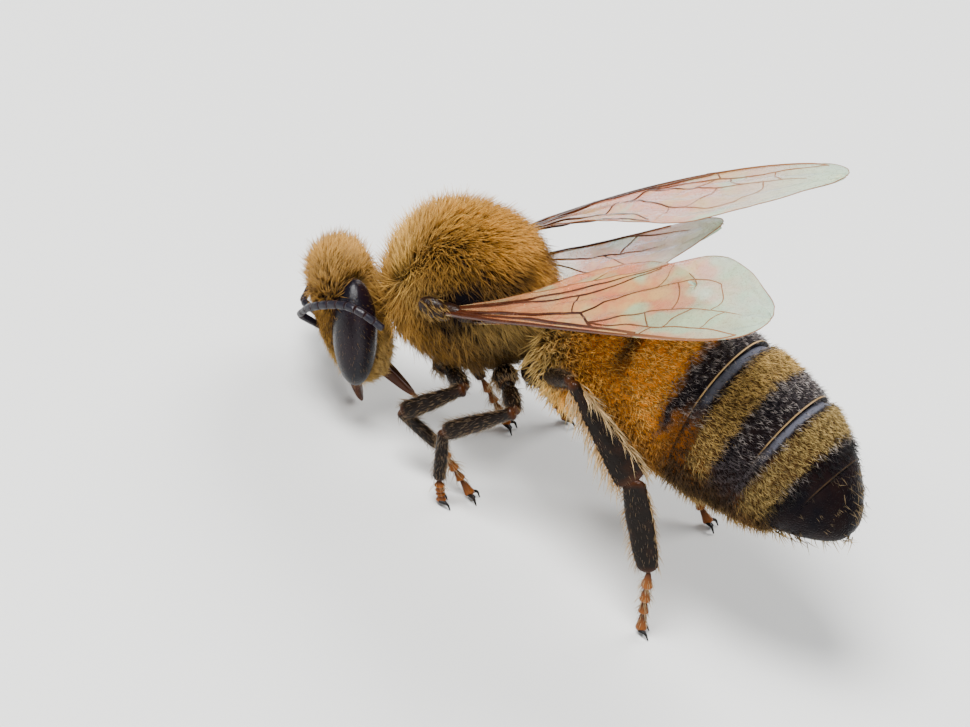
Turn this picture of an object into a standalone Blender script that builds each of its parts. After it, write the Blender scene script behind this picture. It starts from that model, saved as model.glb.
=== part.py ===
"""A worker honey bee at life size, standing on its six feet with both pairs of wings half raised.

The bee faces -X, its left side is towards -Y, and the floor is Z = 0. Every solid reaches out to the tips
of the hair that covers it, so that thorax, head and abdomen have the outline of the furry animal. Sizes are
written in millimetres round the middle of the thorax, and `place` turns them into metres above the floor.
"""

import math

import bpy
import bmesh
from mathutils import Matrix, Vector

MM = 0.001
GAP = 0.05  # clear space between neighbouring pieces
STANCE_HEIGHT = 4.25  # middle of the thorax above the floor

# Thorax: a ball of fur, pitched nose down.
THORAX_CENTRE = (0.1, 0.0, 0.0)
THORAX_LENGTH = 4.35
THORAX_WIDTH = 4.0
THORAX_HEIGHT = 4.15
THORAX_PITCH = 16.0
THORAX_ROUNDNESS = 2.15  # 2 is an ellipse, more is squarer
THORAX_DROOP = 0.25  # both ends sit low, at the neck and at the waist

# Head: a lens with a rounded triangle as its outline, tucked under and turned to the bee's left.
HEAD_CENTRE = (-2.12, -0.15, -2.35)
HEAD_TUCK = 49.0  # the crown-to-jaw line below the horizontal
HEAD_TURN = 27.0  # about the crown-to-jaw line, towards the left
HEAD_WIDTH = 3.6
HEAD_DEPTH = 1.8
HEAD_ROUNDNESS = 2.4
BROW_FLARE = 0.16  # the brow is wider than the jaw by this share, up and down
CROWN = 1.75  # above the head's centre
JAW_LINE = -1.6
EYE_LENGTH = 2.5
EYE_BREADTH = 1.06
EYE_BULGE = 0.55
EYE_PLACE = (1.43, 0.08, 0.08)
EYE_LEAN = 5.0  # the upper ends come together
EYE_TILT = 16.0  # the upper ends lie back

# Feelers and mouthparts, in the head's own frame: X to its left, -Y out of its face, Z towards its crown.
FEELER_THICKNESS = 0.46
SCAPE_FOOT = (0.3, -0.72, 0.0)
SCAPE_SWELL = ((0.0, 1.0), (0.5, 1.1), (0.84, 1.0), (0.9, 0.5))  # share of its length, and of its thickness
LEFT_ELBOW = (1.05, -1.03, 0.74)
LEFT_FLAGELLUM = ((1.6, -0.68, 1.0), (2.18, 0.0, 1.04), (2.5, 0.42, 0.85), (2.65, 0.82, 0.35))
RIGHT_ELBOW = (-1.0, -1.06, 0.38)
RIGHT_FLAGELLUM = ((-1.58, -0.75, 0.55), (-2.15, -0.1, 0.6), (-2.5, 0.35, 0.35), (-2.6, 0.7, -0.15))
MANDIBLE_LENGTH = 0.8
PROBOSCIS_LENGTH = 1.2
PROBOSCIS_LINE = (1.18, 0.06, -0.35)  # it points back and down, in the bee's own directions

# Waist and abdomen: length, half width and half height at the rear rim, and pitch, tail up, per segment.
NECK_LENGTH = 1.1
NECK_WIDTH = 1.0
NECK_AIM = (-0.6, 0.0, -0.9)  # the point in the thorax that the neck heads for
ABDOMEN_FOOT = (2.42, 0.0, 0.28)
ABDOMEN_YAW = -6.0
ABDOMEN_SEGMENTS = (
    (1.0, 1.62, 1.46, 16.0),
    (1.5, 2.02, 1.84, 9.0),
    (1.7, 2.1, 1.92, 3.0),
    (1.7, 1.92, 1.74, -3.0),
    (1.35, 1.42, 1.24, -11.0),
    (1.12, 0.28, 0.24, -20.0),
)
ABDOMEN_FRONT = 0.55  # half width and half height where the waist meets it
END_DOME = 0.6  # the first and the last segment swell fast, as domes do
RING_BOW = 1.2  # those between swell slowly, and faster towards the rim
WAIST_START = (1.4, 0.0, -0.45)
WAIST_END = (2.75, -0.03, 0.2)

# Wings: for each station along the span, how far the leading and the trailing edge lie from the line from
# root to tip. The chord runs back from the leading edge, and the bow lifts the middle of the span.
WING_THICKNESS = 0.5
FOREWING = (
    (0.0, -0.15, 0.15),
    (1.0, -0.2, 0.45),
    (2.4, -0.25, 0.95),
    (4.2, -0.4, 1.65),
    (6.1, -0.6, 2.25),
    (7.4, -0.68, 1.75),
    (8.4, -0.66, 0.95),
    (8.95, -0.45, 0.45),
    (9.15, -0.2, 0.1),
)
HINDWING = (
    (0.0, -0.12, 0.15),
    (1.0, -0.15, 0.8),
    (2.2, -0.15, 1.45),
    (3.6, -0.2, 1.75),
    (4.8, -0.25, 1.5),
    (5.7, -0.22, 0.95),
    (6.2, -0.1, 0.5),
    (6.4, 0.05, 0.25),
)
WINGS = {
    "forewing_left": {
        "root": (0.25, -1.78, 0.28),
        "tip": (7.3, -3.45, 5.75),
        "chord": (0.0, 0.93, 0.36),
        "bow": -0.2,
    },
    "hindwing_left": {
        "root": (0.8, -1.72, 0.1),
        "tip": (5.2, -2.19, 4.22),
        "chord": (0.0, 0.93, 0.36),
        "bow": -0.2,
    },
    "forewing_right": {
        "root": (0.15, 1.8, 0.6),
        "tip": (6.6, 1.15, 6.95),
        "chord": (0.16, -0.97, 0.14),
        "bow": 0.45,
    },
    "hindwing_right": {
        "root": (0.85, 1.65, 0.4),
        "tip": (4.68, 0.39, 4.8),
        "chord": (0.28, -0.95, -0.08),
        "bow": 0.0,
    },
}

TEGULA_PLACE = (-0.12, 2.0, 0.2)  # the shell plate over a forewing's root
TEGULA_REACH = (0.34, 0.0, 0.06)

# Legs: hip, knee, ankle, end of the first foot joint, and where along the floor the toes stand.
LEGS = {
    "front_left": {
        "joints": ((0.3, -0.6, -1.75), (1.25, -1.35, -1.6), (0.2, -1.75, -2.8), (1.28, -1.45, -3.25)),
        "toes": (2.35, -1.2),
    },
    "front_right": {
        "joints": ((0.3, 0.6, -1.75), (1.05, 1.6, -1.65), (-0.15, 1.95, -2.75), (0.85, 1.85, -3.35)),
        "toes": (1.8, 1.95),
    },
    "middle_left": {
        "joints": ((1.75, -0.7, -1.1), (2.66, -1.95, -1.02), (1.36, -2.1, -2.42), (1.75, -2.15, -3.6)),
        "toes": (1.95, -2.0),
    },
    "middle_right": {
        "joints": ((1.55, 0.7, -1.3), (2.5, 2.1, -1.0), (1.75, 2.6, -2.6), (2.2, 2.95, -3.5)),
        "toes": (2.7, 3.4),
    },
    "hind_left": {
        "joints": ((2.3, -0.65, -0.75), (3.6, -2.42, 0.82), (5.9, -2.42, -0.68), (7.08, -2.4, -2.58)),
        "toes": (7.45, -2.25),
    },
    "hind_right": {
        "joints": ((2.25, 0.6, -0.85), (3.3, 2.25, 0.55), (4.6, 2.45, -1.8), (5.95, 2.65, -3.3)),
        "toes": (6.9, 2.8),
    },
}
ROOT_SHARE = 0.3  # how far towards the knee the coxa reaches
SHIN_HALF_WIDTH = 0.28
SHIN_HALF_DEPTH = 0.26
BASKET_HALF_WIDTH = 0.4  # the hind shin is a broad pollen basket
TOE_RADIUS = 0.25
TOE_TIP_RADIUS = 0.16
TOE_LIFT = 0.25  # the toes' middle line above the floor
TOE_PAD = 0.25  # how far the pad runs on past the toes

# Each row of a leg piece: the share of its length, then half width and half thickness there.
COXA_ROWS = ((0, 0.34, 0.32), (0.5, 0.36, 0.33), (0.82, 0.3, 0.3), (0.95, 0.2, 0.2))
FEMUR_ROWS = ((0.05, 0.2, 0.2), (0.2, 0.29, 0.26), (0.6, 0.28, 0.26), (0.8, 0.22, 0.22), (0.88, 0.14, 0.14))


def place(x, y, z):
    """A point given in millimetres round the middle of the thorax, in metres above the floor."""
    return Vector((x, y, z + STANCE_HEIGHT)) * MM


def material(name, colour, roughness, metallic=0.0):
    """The Principled material of this name, made at its first use."""
    found = bpy.data.materials.get(name)
    if found:
        return found
    made = bpy.data.materials.new(name)
    made.use_nodes = True
    shader = made.node_tree.nodes["Principled BSDF"]
    shader.inputs["Base Color"].default_value = (*colour, 1.0)
    shader.inputs["Roughness"].default_value = roughness
    shader.inputs["Metallic"].default_value = metallic
    return made


def section(centre, across, up, half_width, half_height, sides=20, roundness=2.0):
    """A closed ring of points: an ellipse, or a squarer curve, in the plane of two directions."""
    ring = []
    for step in range(sides):
        angle = 2 * math.pi * step / sides
        cosine, sine = math.cos(angle), math.sin(angle)
        side = math.copysign(abs(cosine) ** (2 / roundness), cosine)
        height = math.copysign(abs(sine) ** (2 / roundness), sine)
        ring.append(centre + across * (half_width * side) + up * (half_height * height))
    return ring


def add_solid(name, rings, origin, look):
    """One closed, smooth-shaded body through a row of equal rings, standing at its own origin."""
    shape = bmesh.new()
    loops = [[shape.verts.new(point - origin) for point in ring] for ring in rings]
    for near, far in zip(loops, loops[1:]):
        for step, corner in enumerate(near):
            following = (step + 1) % len(near)
            shape.faces.new((corner, near[following], far[following], far[step]))
    shape.faces.new(loops[0][::-1])
    shape.faces.new(loops[-1])
    bmesh.ops.recalc_face_normals(shape, faces=shape.faces)
    mesh = bpy.data.meshes.new(name)
    shape.to_mesh(mesh)
    shape.free()
    mesh.shade_smooth()
    mesh.set_sharp_from_angle(angle=math.radians(50))
    mesh.materials.append(look)
    made = bpy.data.objects.new(name, mesh)
    made.location = origin
    bpy.context.scene.collection.objects.link(made)
    return made


def directions(along, face):
    """Two unit directions square to `along`: across, and the one nearest to `face`."""
    across = face.cross(along).normalized()
    return across, along.cross(across).normalized()


def curve_through(points, steps):
    """Points of a smooth curve through the given ones."""
    ends = [points[0] * 2 - points[1], *points, points[-1] * 2 - points[-2]]
    curve = []
    for before, start, end, after in zip(ends, ends[1:], ends[2:], ends[3:]):
        for step in range(steps):
            t = step / steps
            leave, arrive = (end - before) / 2, (after - start) / 2
            hold = start * (2 * t**3 - 3 * t**2 + 1) + end * (3 * t**2 - 2 * t**3)
            curve.append(hold + leave * (t**3 - 2 * t**2 + t) + arrive * (t**3 - t**2))
    return [*curve, points[-1]]


def cutter_of(solid, growth):
    """A hidden copy of a solid, grown by a clear distance, that trims what is set into it."""
    mesh = solid.data.copy()
    mesh.name = solid.name + "_cutter"
    grown = bmesh.new()
    grown.from_mesh(mesh)
    for corner in grown.verts:
        corner.co += corner.normal * growth
    grown.to_mesh(mesh)
    grown.free()
    made = bpy.data.objects.new(mesh.name, mesh)
    made.location = solid.location
    made.hide_render = True
    made.display_type = "WIRE"
    bpy.context.scene.collection.objects.link(made)
    return made


def trim(solid, cutter):
    """Cuts a solid back to where it leaves another one."""
    cut = solid.modifiers.new("set into " + cutter.name, "BOOLEAN")
    cut.operation = "DIFFERENCE"
    cut.solver = "EXACT"
    cut.object = cutter


def limb(name, start, end, rows, face, look, sides=12):
    """A tapering length between two joints. Each row is a fraction of the length and two half sizes."""
    along = (end - start).normalized()
    across, up = directions(along, face)
    rings = []
    for fraction, half_width, half_thickness in rows:
        centre = start.lerp(end, fraction)
        rings.append(section(centre, across, up, half_width * MM, half_thickness * MM, sides))
    return add_solid(name, rings, start, look)


def tube(name, points, radii, look, sides=10):
    """A round tapering feeler along a smooth curve, whose radius runs evenly through the given ones."""
    rings = []
    last = len(points) - 1
    up = Vector((0, 0, 1))
    for step, centre in enumerate(points):
        along = (points[min(step + 1, last)] - points[max(step - 1, 0)]).normalized()
        across, up = directions(along, up)
        reach = step / last * (len(radii) - 1)
        low = min(int(reach), len(radii) - 2)
        radius = radii[low] + (radii[low + 1] - radii[low]) * (reach - low)
        rings.append(section(centre, across, up, radius * MM, radius * MM, sides))
    return add_solid(name, rings, points[0], look)


def build_thorax():
    """The thorax with its coat, as one rounded solid whose two ends hang a little."""
    along = Matrix.Rotation(-math.radians(THORAX_PITCH), 3, "Y") @ Vector((1, 0, 0))
    across, up = directions(along, Vector((0, 0, 1)))
    middle = place(*THORAX_CENTRE)
    rings = []
    stations = 13
    for step in range(stations):
        reach = -math.cos(math.pi * (step + 0.35) / (stations - 0.3))
        size = (1 - abs(reach) ** THORAX_ROUNDNESS) ** (1 / THORAX_ROUNDNESS)
        drop = THORAX_DROOP * reach**4
        centre = middle + along * (reach * THORAX_LENGTH / 2 * MM) - up * (drop * MM)
        half_width, half_height = size * THORAX_WIDTH / 2 * MM, size * THORAX_HEIGHT / 2 * MM
        rings.append(section(centre, across, up, half_width, half_height, 24, THORAX_ROUNDNESS))
    return add_solid("thorax", rings, middle, material("golden fur", (0.45, 0.22, 0.06), 0.9))


def head_frame():
    """The head's own axes: X to its left, -Y out of its face, Z to its crown, at the head's centre."""
    tuck = math.radians(HEAD_TUCK)
    crown = Vector((-math.cos(tuck), 0, math.sin(tuck)))
    nape = Vector((math.sin(tuck), 0, math.cos(tuck)))
    turn = Matrix.Rotation(math.radians(HEAD_TURN), 3, crown)
    axes = Matrix((turn @ Vector((0, -1, 0)), turn @ nape, crown)).transposed().to_4x4()
    return Matrix.Translation(place(*HEAD_CENTRE)) @ axes


def in_head(frame, point):
    """A point given in millimetres in the head's own frame, in metres above the floor."""
    return frame @ (Vector(point) * MM)


def build_head(frame):
    """The furry head capsule, with its mouth at the lower end."""
    left, nape, _ = (frame.to_3x3().col[axis] for axis in range(3))
    rings = []
    stations = 12
    for step in range(stations):
        reach = -math.cos(math.pi * (step + 0.4) / (stations - 0.2))
        size = (1 - abs(reach) ** HEAD_ROUNDNESS) ** (1 / HEAD_ROUNDNESS)
        half_width = HEAD_WIDTH / 2 * size * (1 + BROW_FLARE * reach) * MM
        half_depth = HEAD_DEPTH / 2 * size * MM
        centre = in_head(frame, (0, 0, (CROWN + JAW_LINE) / 2 + reach * (CROWN - JAW_LINE) / 2))
        rings.append(section(centre, left, nape, half_width, half_depth, 24, 2.1))
    look = material("brown fur", (0.3, 0.17, 0.07), 0.9)
    return add_solid("head", rings, in_head(frame, (0, 0, 0)), look)


def build_eye(name, frame, side):
    """A long oval eye on one side of the head. `side` is 1 on the left and -1 on the right."""
    rings = []
    stations = 11
    middle = Vector((EYE_PLACE[0] * side, EYE_PLACE[1], EYE_PLACE[2]))
    lean = Matrix.Rotation(-math.radians(EYE_LEAN) * side, 3, "Y")
    lean = lean @ Matrix.Rotation(-math.radians(EYE_TILT), 3, "X")
    across, up = Vector((1, 0, 0)), Vector((0, 1, 0))
    for step in range(stations):
        reach = -math.cos(math.pi * (step + 0.4) / (stations - 0.2))
        size = math.sqrt(1 - reach**2)
        centre = Vector((0, 0, reach * EYE_LENGTH / 2))
        oval = section(centre, across, up, EYE_BULGE * size, EYE_BREADTH / 2 * size, 14)
        rings.append([in_head(frame, middle + lean @ point) for point in oval])
    return add_solid(name, rings, in_head(frame, middle), material("eye", (0.01, 0.011, 0.02), 0.15))


def build_feelers(frame, head_cutter, eye_cutters):
    """Scape and flagellum on each side: a straight shaft, an elbow and a curved whip."""
    look = material("feeler", (0.02, 0.018, 0.025), 0.3)
    thick = FEELER_THICKNESS / 2
    rows = [(share, thick * swell, thick * swell) for share, swell in SCAPE_SWELL]
    radii = (thick * 0.75, thick, thick * 1.05, thick * 1.05, thick * 0.6)
    for side, hand, elbow, whip, eye_cutter in (
        ("left", 1, LEFT_ELBOW, LEFT_FLAGELLUM, eye_cutters[0]),
        ("right", -1, RIGHT_ELBOW, RIGHT_FLAGELLUM, eye_cutters[1]),
    ):
        foot = in_head(frame, (SCAPE_FOOT[0] * hand, SCAPE_FOOT[1], SCAPE_FOOT[2]))
        bend = in_head(frame, elbow)
        scape = limb(f"antenna_{side}_scape", foot, bend, rows, Vector((0, 0, 1)), look, 10)
        trim(scape, head_cutter)
        trim(scape, eye_cutter)
        points = curve_through([bend, *(in_head(frame, point) for point in whip)], 3)
        flagellum = tube(f"antenna_{side}_flagellum", points, radii, look)
        trim(flagellum, head_cutter)


def build_mouth(frame, head_cutter):
    """Two mandibles that close over the base of the tongue, and the tongue itself, reaching back and down."""
    look = material("mouthpart", (0.16, 0.06, 0.02), 0.4)
    for side, hand in (("left", 1), ("right", -1)):
        start = in_head(frame, (0.6 * hand, -0.2, JAW_LINE + 0.4))
        end = in_head(frame, (0.21 * hand, -0.3, JAW_LINE + 0.4 - MANDIBLE_LENGTH))
        rows = ((0, 0.24, 0.22), (0.5, 0.25, 0.22), (0.85, 0.24, 0.2), (1, 0.14, 0.13))
        mandible = limb(f"mandible_{side}", start, end, rows, frame.to_3x3().col[1], look, 10)
        trim(mandible, head_cutter)
    start = in_head(frame, (0, 0.3, JAW_LINE + 0.3))
    along = Vector(PROBOSCIS_LINE).normalized()
    rows = ((0, 0.24, 0.24), (0.3, 0.24, 0.22), (0.7, 0.2, 0.18), (1, 0.12, 0.1))
    end = start + along * (PROBOSCIS_LENGTH * MM)
    tongue = limb("proboscis", start, end, rows, Vector((0, 0, 1)), look, 10)
    trim(tongue, head_cutter)


def build_neck(frame, head_cutter, thorax_cutter):
    """The short neck, sunk between the coats of head and thorax."""
    start = in_head(frame, (0, HEAD_DEPTH * 0.3, 0.25))
    along = (place(*NECK_AIM) - start).normalized()
    half = NECK_WIDTH / 2
    rows = ((0, half, half), (1, half, half))
    look = material("neck", (0.12, 0.07, 0.03), 0.8)
    neck = limb("neck", start, start + along * (NECK_LENGTH * MM), rows, Vector((0, 0, 1)), look, 16)
    trim(neck, head_cutter)
    trim(neck, thorax_cutter)


def abdomen_rims():
    """Centre, along, across and up at the front of each abdomen segment, and at the tip."""
    centre = place(*ABDOMEN_FOOT)
    rims = []
    yaw = Matrix.Rotation(math.radians(ABDOMEN_YAW), 3, "Z")
    for length, _, _, pitch in ABDOMEN_SEGMENTS:
        along = yaw @ Matrix.Rotation(-math.radians(pitch), 3, "Y") @ Vector((1, 0, 0))
        rims.append((centre, along))
        centre = centre + along * (length * MM)
    rims.append((centre, along))
    return rims


def build_abdomen():
    """Six overlapping rings. Each starts a little inside the rim before it and swells towards its own rim."""
    rims = abdomen_rims()
    colours = (
        (0.42, 0.24, 0.09),
        (0.45, 0.2, 0.05),
        (0.42, 0.17, 0.04),
        (0.2, 0.14, 0.06),
        (0.16, 0.11, 0.05),
        (0.015, 0.013, 0.015),
    )
    front_width = front_height = ABDOMEN_FRONT
    parts = []
    last = len(ABDOMEN_SEGMENTS) - 1
    for index, (length, half_width, half_height, _) in enumerate(ABDOMEN_SEGMENTS):
        centre, along = rims[index]
        end = rims[index + 1][0]
        start_along = (along + rims[max(index - 1, 0)][1]).normalized()
        end_along = (along + rims[min(index + 1, last)][1]).normalized()
        rings = []
        for fraction in (0.0, 0.15, 0.45, 0.8, 1.0):
            spot = centre.lerp(end, fraction * (1 - GAP / length))
            facing = start_along.lerp(end_along, fraction).normalized()
            across, up = directions(facing, Vector((0, 0, 1)))
            if index == last:
                swell = 1 - (1 - fraction) ** END_DOME
            else:
                swell = fraction ** (END_DOME if index == 0 else RING_BOW)
            width = front_width + (half_width - front_width) * swell
            height = front_height + (half_height - front_height) * swell
            rings.append(section(spot, across, up, width * MM, height * MM, 24, 2.1))
        look = material(f"abdomen ring {index + 1}", colours[index], 0.8)
        parts.append(add_solid(f"abdomen_{index + 1}", rings, centre, look))
        front_width, front_height = half_width, half_height
    return parts


def build_petiole(thorax_cutter, first_ring_cutter):
    """The narrow waist."""
    look = material("waist", (0.08, 0.05, 0.03), 0.7)
    rows = ((0, 0.45, 0.4), (0.5, 0.36, 0.34), (1, 0.45, 0.4))
    waist = limb("petiole", place(*WAIST_START), place(*WAIST_END), rows, Vector((0, 0, 1)), look, 14)
    trim(waist, thorax_cutter)
    trim(waist, first_ring_cutter)


def build_wings(body_cutters):
    """Four plates that thicken the wings. A forewing's lies above its membrane, a hindwing's below."""
    look = material("wing", (0.62, 0.5, 0.4), 0.2)
    cutters = list(body_cutters)
    for name, wing in WINGS.items():
        fore = name.startswith("forewing")
        stations = FOREWING if fore else HINDWING
        low, high = (0, WING_THICKNESS) if fore else (-WING_THICKNESS, 0)
        root, tip = place(*wing["root"]), place(*wing["tip"])
        span = (tip - root).normalized()
        chord = Vector(wing["chord"])
        chord = (chord - span * chord.dot(span)).normalized()
        above = span.cross(chord)
        above *= math.copysign(1, above.z)
        full_span = stations[-1][0]
        scale = (tip - root).length / full_span
        rings = []
        for along, leading, trailing in curve_through([Vector(station) for station in stations], 2):
            fraction = along / full_span
            lift = wing["bow"] * 4 * fraction * (1 - fraction)
            middle = root + span * (along * scale)
            front, back = chord * (leading * scale), chord * (trailing * scale)
            under, over = above * ((low + lift) * MM), above * ((high + lift) * MM)
            corners = (front + under, back + under, back + over, front + over)
            rings.append([middle + corner for corner in corners])
        plate = add_solid(name, rings, root, look)
        for cutter in cutters:
            trim(plate, cutter)
        cutters.append(cutter_of(plate, GAP * MM))


def build_tegulae(thorax_cutter):
    """The shell plate over the root of each forewing."""
    plate = material("root plate", (0.06, 0.03, 0.015), 0.35)
    for side, hand in (("left", -1), ("right", 1)):
        centre = place(TEGULA_PLACE[0], TEGULA_PLACE[1] * hand, TEGULA_PLACE[2])
        rows = ((0, 0.12, 0.12), (0.15, 0.26, 0.24), (0.5, 0.34, 0.3), (0.85, 0.26, 0.24), (1, 0.12, 0.12))
        reach = Vector(TEGULA_REACH) * MM
        tegula = limb(f"tegula_{side}", centre - reach, centre + reach, rows, Vector((0, 0, 1)), plate, 12)
        trim(tegula, thorax_cutter)


def shin_rows(half_width):
    """Rows of a tibia, slim at the knee and broadest near the ankle."""
    return (
        (0.1, 0.15, 0.15),
        (0.2, 0.25, 0.25),
        (0.45, half_width * 0.85, SHIN_HALF_DEPTH),
        (0.82, half_width, SHIN_HALF_DEPTH),
        (0.93, half_width * 0.6, SHIN_HALF_DEPTH * 0.6),
    )


def brush_rows(half_width):
    """Rows of a basitarsus, the long first joint of the foot."""
    return (
        (0.09, 0.17, 0.16),
        (0.2, half_width * 0.85, 0.25),
        (0.5, half_width * 0.95, 0.25),
        (0.82, half_width * 0.8, 0.25),
        (0.92, 0.16, 0.16),
    )


def build_leg(name, leg, body_cutters):
    """Coxa, femur, tibia, basitarsus and tarsus, the last with a small flat on the floor."""
    look = material("leg", (0.03, 0.02, 0.015), 0.4)
    hip, knee, ankle, brush = (place(*joint) for joint in leg["joints"])
    toes = Vector((*leg["toes"], TOE_LIFT)) * MM
    root = hip.lerp(knee, ROOT_SHARE)
    outward = Vector((0, math.copysign(1, hip.y), 0.35))
    half_width = BASKET_HALF_WIDTH if name.startswith("hind") else SHIN_HALF_WIDTH
    for part, near, far, rows in (
        ("coxa", hip, root, COXA_ROWS),
        ("femur", root, knee, FEMUR_ROWS),
        ("tibia", knee, ankle, shin_rows(half_width)),
        ("basitarsus", ankle, brush, brush_rows(half_width)),
    ):
        solid = limb(f"leg_{name}_{part}", near, far, rows, outward, look)
        if part in ("coxa", "femur"):
            for cutter in body_cutters:
                trim(solid, cutter)
    build_tarsus(f"leg_{name}_tarsus", brush, toes, outward)


def build_tarsus(name, near, far, outward):
    """The small foot: it tapers down to a pad whose underside is cut flat at the floor."""
    level = Vector((far.x - near.x, far.y - near.y, 0)) / (far - near).length
    pad = far + level * (TOE_PAD * MM)
    points = curve_through([near.lerp(far, 0.05), near.lerp(far, 0.6), far, pad], 2)
    rings = []
    last = len(points) - 1
    for step, centre in enumerate(points):
        along = (points[min(step + 1, last)] - points[max(step - 1, 0)]).normalized()
        across, up = directions(along, outward)
        radius = (TOE_TIP_RADIUS if step in (0, last) else TOE_RADIUS) * MM
        ring = section(centre, across, up, radius, radius, 10)
        rings.append([Vector((point.x, point.y, max(point.z, 0.0))) for point in ring])
    add_solid(name, rings, near, material("toe", (0.2, 0.08, 0.03), 0.5))


def centre_on_floor():
    """Hangs every piece from one empty that puts the middle of the bee's box over the origin."""
    stance = bpy.data.objects.new("stance", None)
    bpy.context.scene.collection.objects.link(stance)
    bpy.context.view_layer.update()
    pieces = [piece for piece in bpy.context.scene.objects if piece.type == "MESH"]
    shown = [piece for piece in pieces if not piece.hide_render]
    corners = [piece.matrix_world @ corner.co for piece in shown for corner in piece.data.vertices]
    for axis in (0, 1):
        low = min(corner[axis] for corner in corners)
        high = max(corner[axis] for corner in corners)
        stance.location[axis] = -(low + high) / 2
    for piece in pieces:
        piece.parent = stance


def main():
    for old in list(bpy.data.objects):
        bpy.data.objects.remove(old, do_unlink=True)
    thorax = build_thorax()
    thorax_cutter = cutter_of(thorax, GAP * MM)
    frame = head_frame()
    head = build_head(frame)
    eyes = [build_eye("eye_left", frame, 1), build_eye("eye_right", frame, -1)]
    head_cutter = cutter_of(head, GAP * MM)
    eye_cutters = [cutter_of(eye, GAP * MM) for eye in eyes]
    for cutter in (*eye_cutters, thorax_cutter):
        trim(head, cutter)
    build_feelers(frame, head_cutter, eye_cutters)
    build_mouth(frame, head_cutter)
    build_neck(frame, head_cutter, thorax_cutter)
    rings = build_abdomen()
    trim(rings[0], thorax_cutter)
    ring_cutters = [cutter_of(ring, GAP * MM) for ring in rings[:3]]
    build_petiole(thorax_cutter, ring_cutters[0])
    build_wings((thorax_cutter, *ring_cutters))
    build_tegulae(thorax_cutter)
    for name, leg in LEGS.items():
        build_leg(name, leg, (thorax_cutter, ring_cutters[0]))
    centre_on_floor()


main()
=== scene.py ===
# %% [markdown]
# # A worker honey bee, life size and standing still
#
# This file builds the looks of a honey bee around a finished set of solids. The solids give the outline, out
# to the tips of the hair. Here they are replaced, one after another, by what the eye sees: a shell with its
# markings, glossy eyes, jointed feelers and legs, thin veined wings, and a coat of many thousand fine hairs.
#
# Every length is written in millimetres, because a bee is measured in them. The last step of each piece turns
# it into metres.

import math
import random

import bmesh
import bpy
import numpy as np
from mathutils import Matrix, Vector, kdtree, noise


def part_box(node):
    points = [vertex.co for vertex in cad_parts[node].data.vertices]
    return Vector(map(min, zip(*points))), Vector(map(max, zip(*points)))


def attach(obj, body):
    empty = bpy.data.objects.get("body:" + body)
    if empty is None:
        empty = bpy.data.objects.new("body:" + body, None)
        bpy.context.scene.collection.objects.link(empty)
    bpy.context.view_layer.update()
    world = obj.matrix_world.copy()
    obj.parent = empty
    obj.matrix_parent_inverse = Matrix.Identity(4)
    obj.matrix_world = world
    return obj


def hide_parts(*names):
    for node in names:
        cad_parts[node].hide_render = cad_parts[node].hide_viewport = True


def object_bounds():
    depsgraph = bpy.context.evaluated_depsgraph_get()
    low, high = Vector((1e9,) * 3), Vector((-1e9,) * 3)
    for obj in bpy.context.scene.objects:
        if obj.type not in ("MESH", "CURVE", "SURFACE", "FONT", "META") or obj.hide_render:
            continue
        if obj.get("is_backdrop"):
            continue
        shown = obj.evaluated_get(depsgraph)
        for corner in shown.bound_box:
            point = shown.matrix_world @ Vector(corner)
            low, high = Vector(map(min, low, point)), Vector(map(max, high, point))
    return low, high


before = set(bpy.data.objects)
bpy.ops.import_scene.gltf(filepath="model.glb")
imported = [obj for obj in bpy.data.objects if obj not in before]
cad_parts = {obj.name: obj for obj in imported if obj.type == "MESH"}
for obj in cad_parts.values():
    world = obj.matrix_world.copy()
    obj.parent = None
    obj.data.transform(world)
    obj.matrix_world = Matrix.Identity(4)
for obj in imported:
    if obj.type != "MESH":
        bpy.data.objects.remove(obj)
cad_low, cad_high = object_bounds()
MM = 0.001
print("nodes:", len(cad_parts), "box in mm:", [round(side / MM, 2) for side in cad_high - cad_low])

# %% [markdown]
# ## One origin for the whole animal
#
# The bee looks towards -X and its left side is towards -Y. Places on the body are easiest to say from the
# middle of the thorax, so one helper turns such a place into a place in the frame. The thorax solid's box
# tells where that middle is, so nothing here is fitted by eye.

# %% Places on the body
THORAX_BOX_MIDDLE = Vector((0.155, 0.0, -0.001))  # of the solid's box, from the middle of the thorax
UP = Vector((0, 0, 1))
X, Y = Vector((1, 0, 0)), Vector((0, 1, 0))


def middle_of(node):
    """The middle of a solid's box, in millimetres."""
    low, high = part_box(node)
    return (low + high) / 2 / MM


ORIGIN = middle_of("thorax") - THORAX_BOX_MIDDLE


def at(x, y, z):
    """A place given from the middle of the thorax, in millimetres."""
    return ORIGIN + Vector((x, y, z))


def show(name, data):
    """Puts a mesh, a lamp or a camera into the scene as an object."""
    made = bpy.data.objects.new(name, data)
    bpy.context.scene.collection.objects.link(made)
    return made


print("middle of the thorax:", [round(value, 2) for value in ORIGIN])

# %% [markdown]
# ## Camera, floor and light
#
# The camera comes first, because every later choice is judged through it. It stands a little above the bee,
# off its left side, far away behind a long lens, as suits a close view of a small animal. It is rolled, so
# the bee seems to lean, while in the frame it stands level on the floor. The two directions below are the
# camera's right and back, and its up follows from them.

# %% Camera
CAMERA_RIGHT = Vector((0.842, 0.416, 0.344))
CAMERA_BACK = Vector((0.172, -0.811, 0.559))
VIEW_SHIFT = (0.386, -1.83)  # the view's middle, right of and above the middle of the thorax
VIEW_WIDTH = 22.05
VIEW_DISTANCE = 220.0
SENSOR_WIDTH = 36.0
NEAR_CLIP, FAR_CLIP = 0.01, 10.0  # in metres

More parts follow.
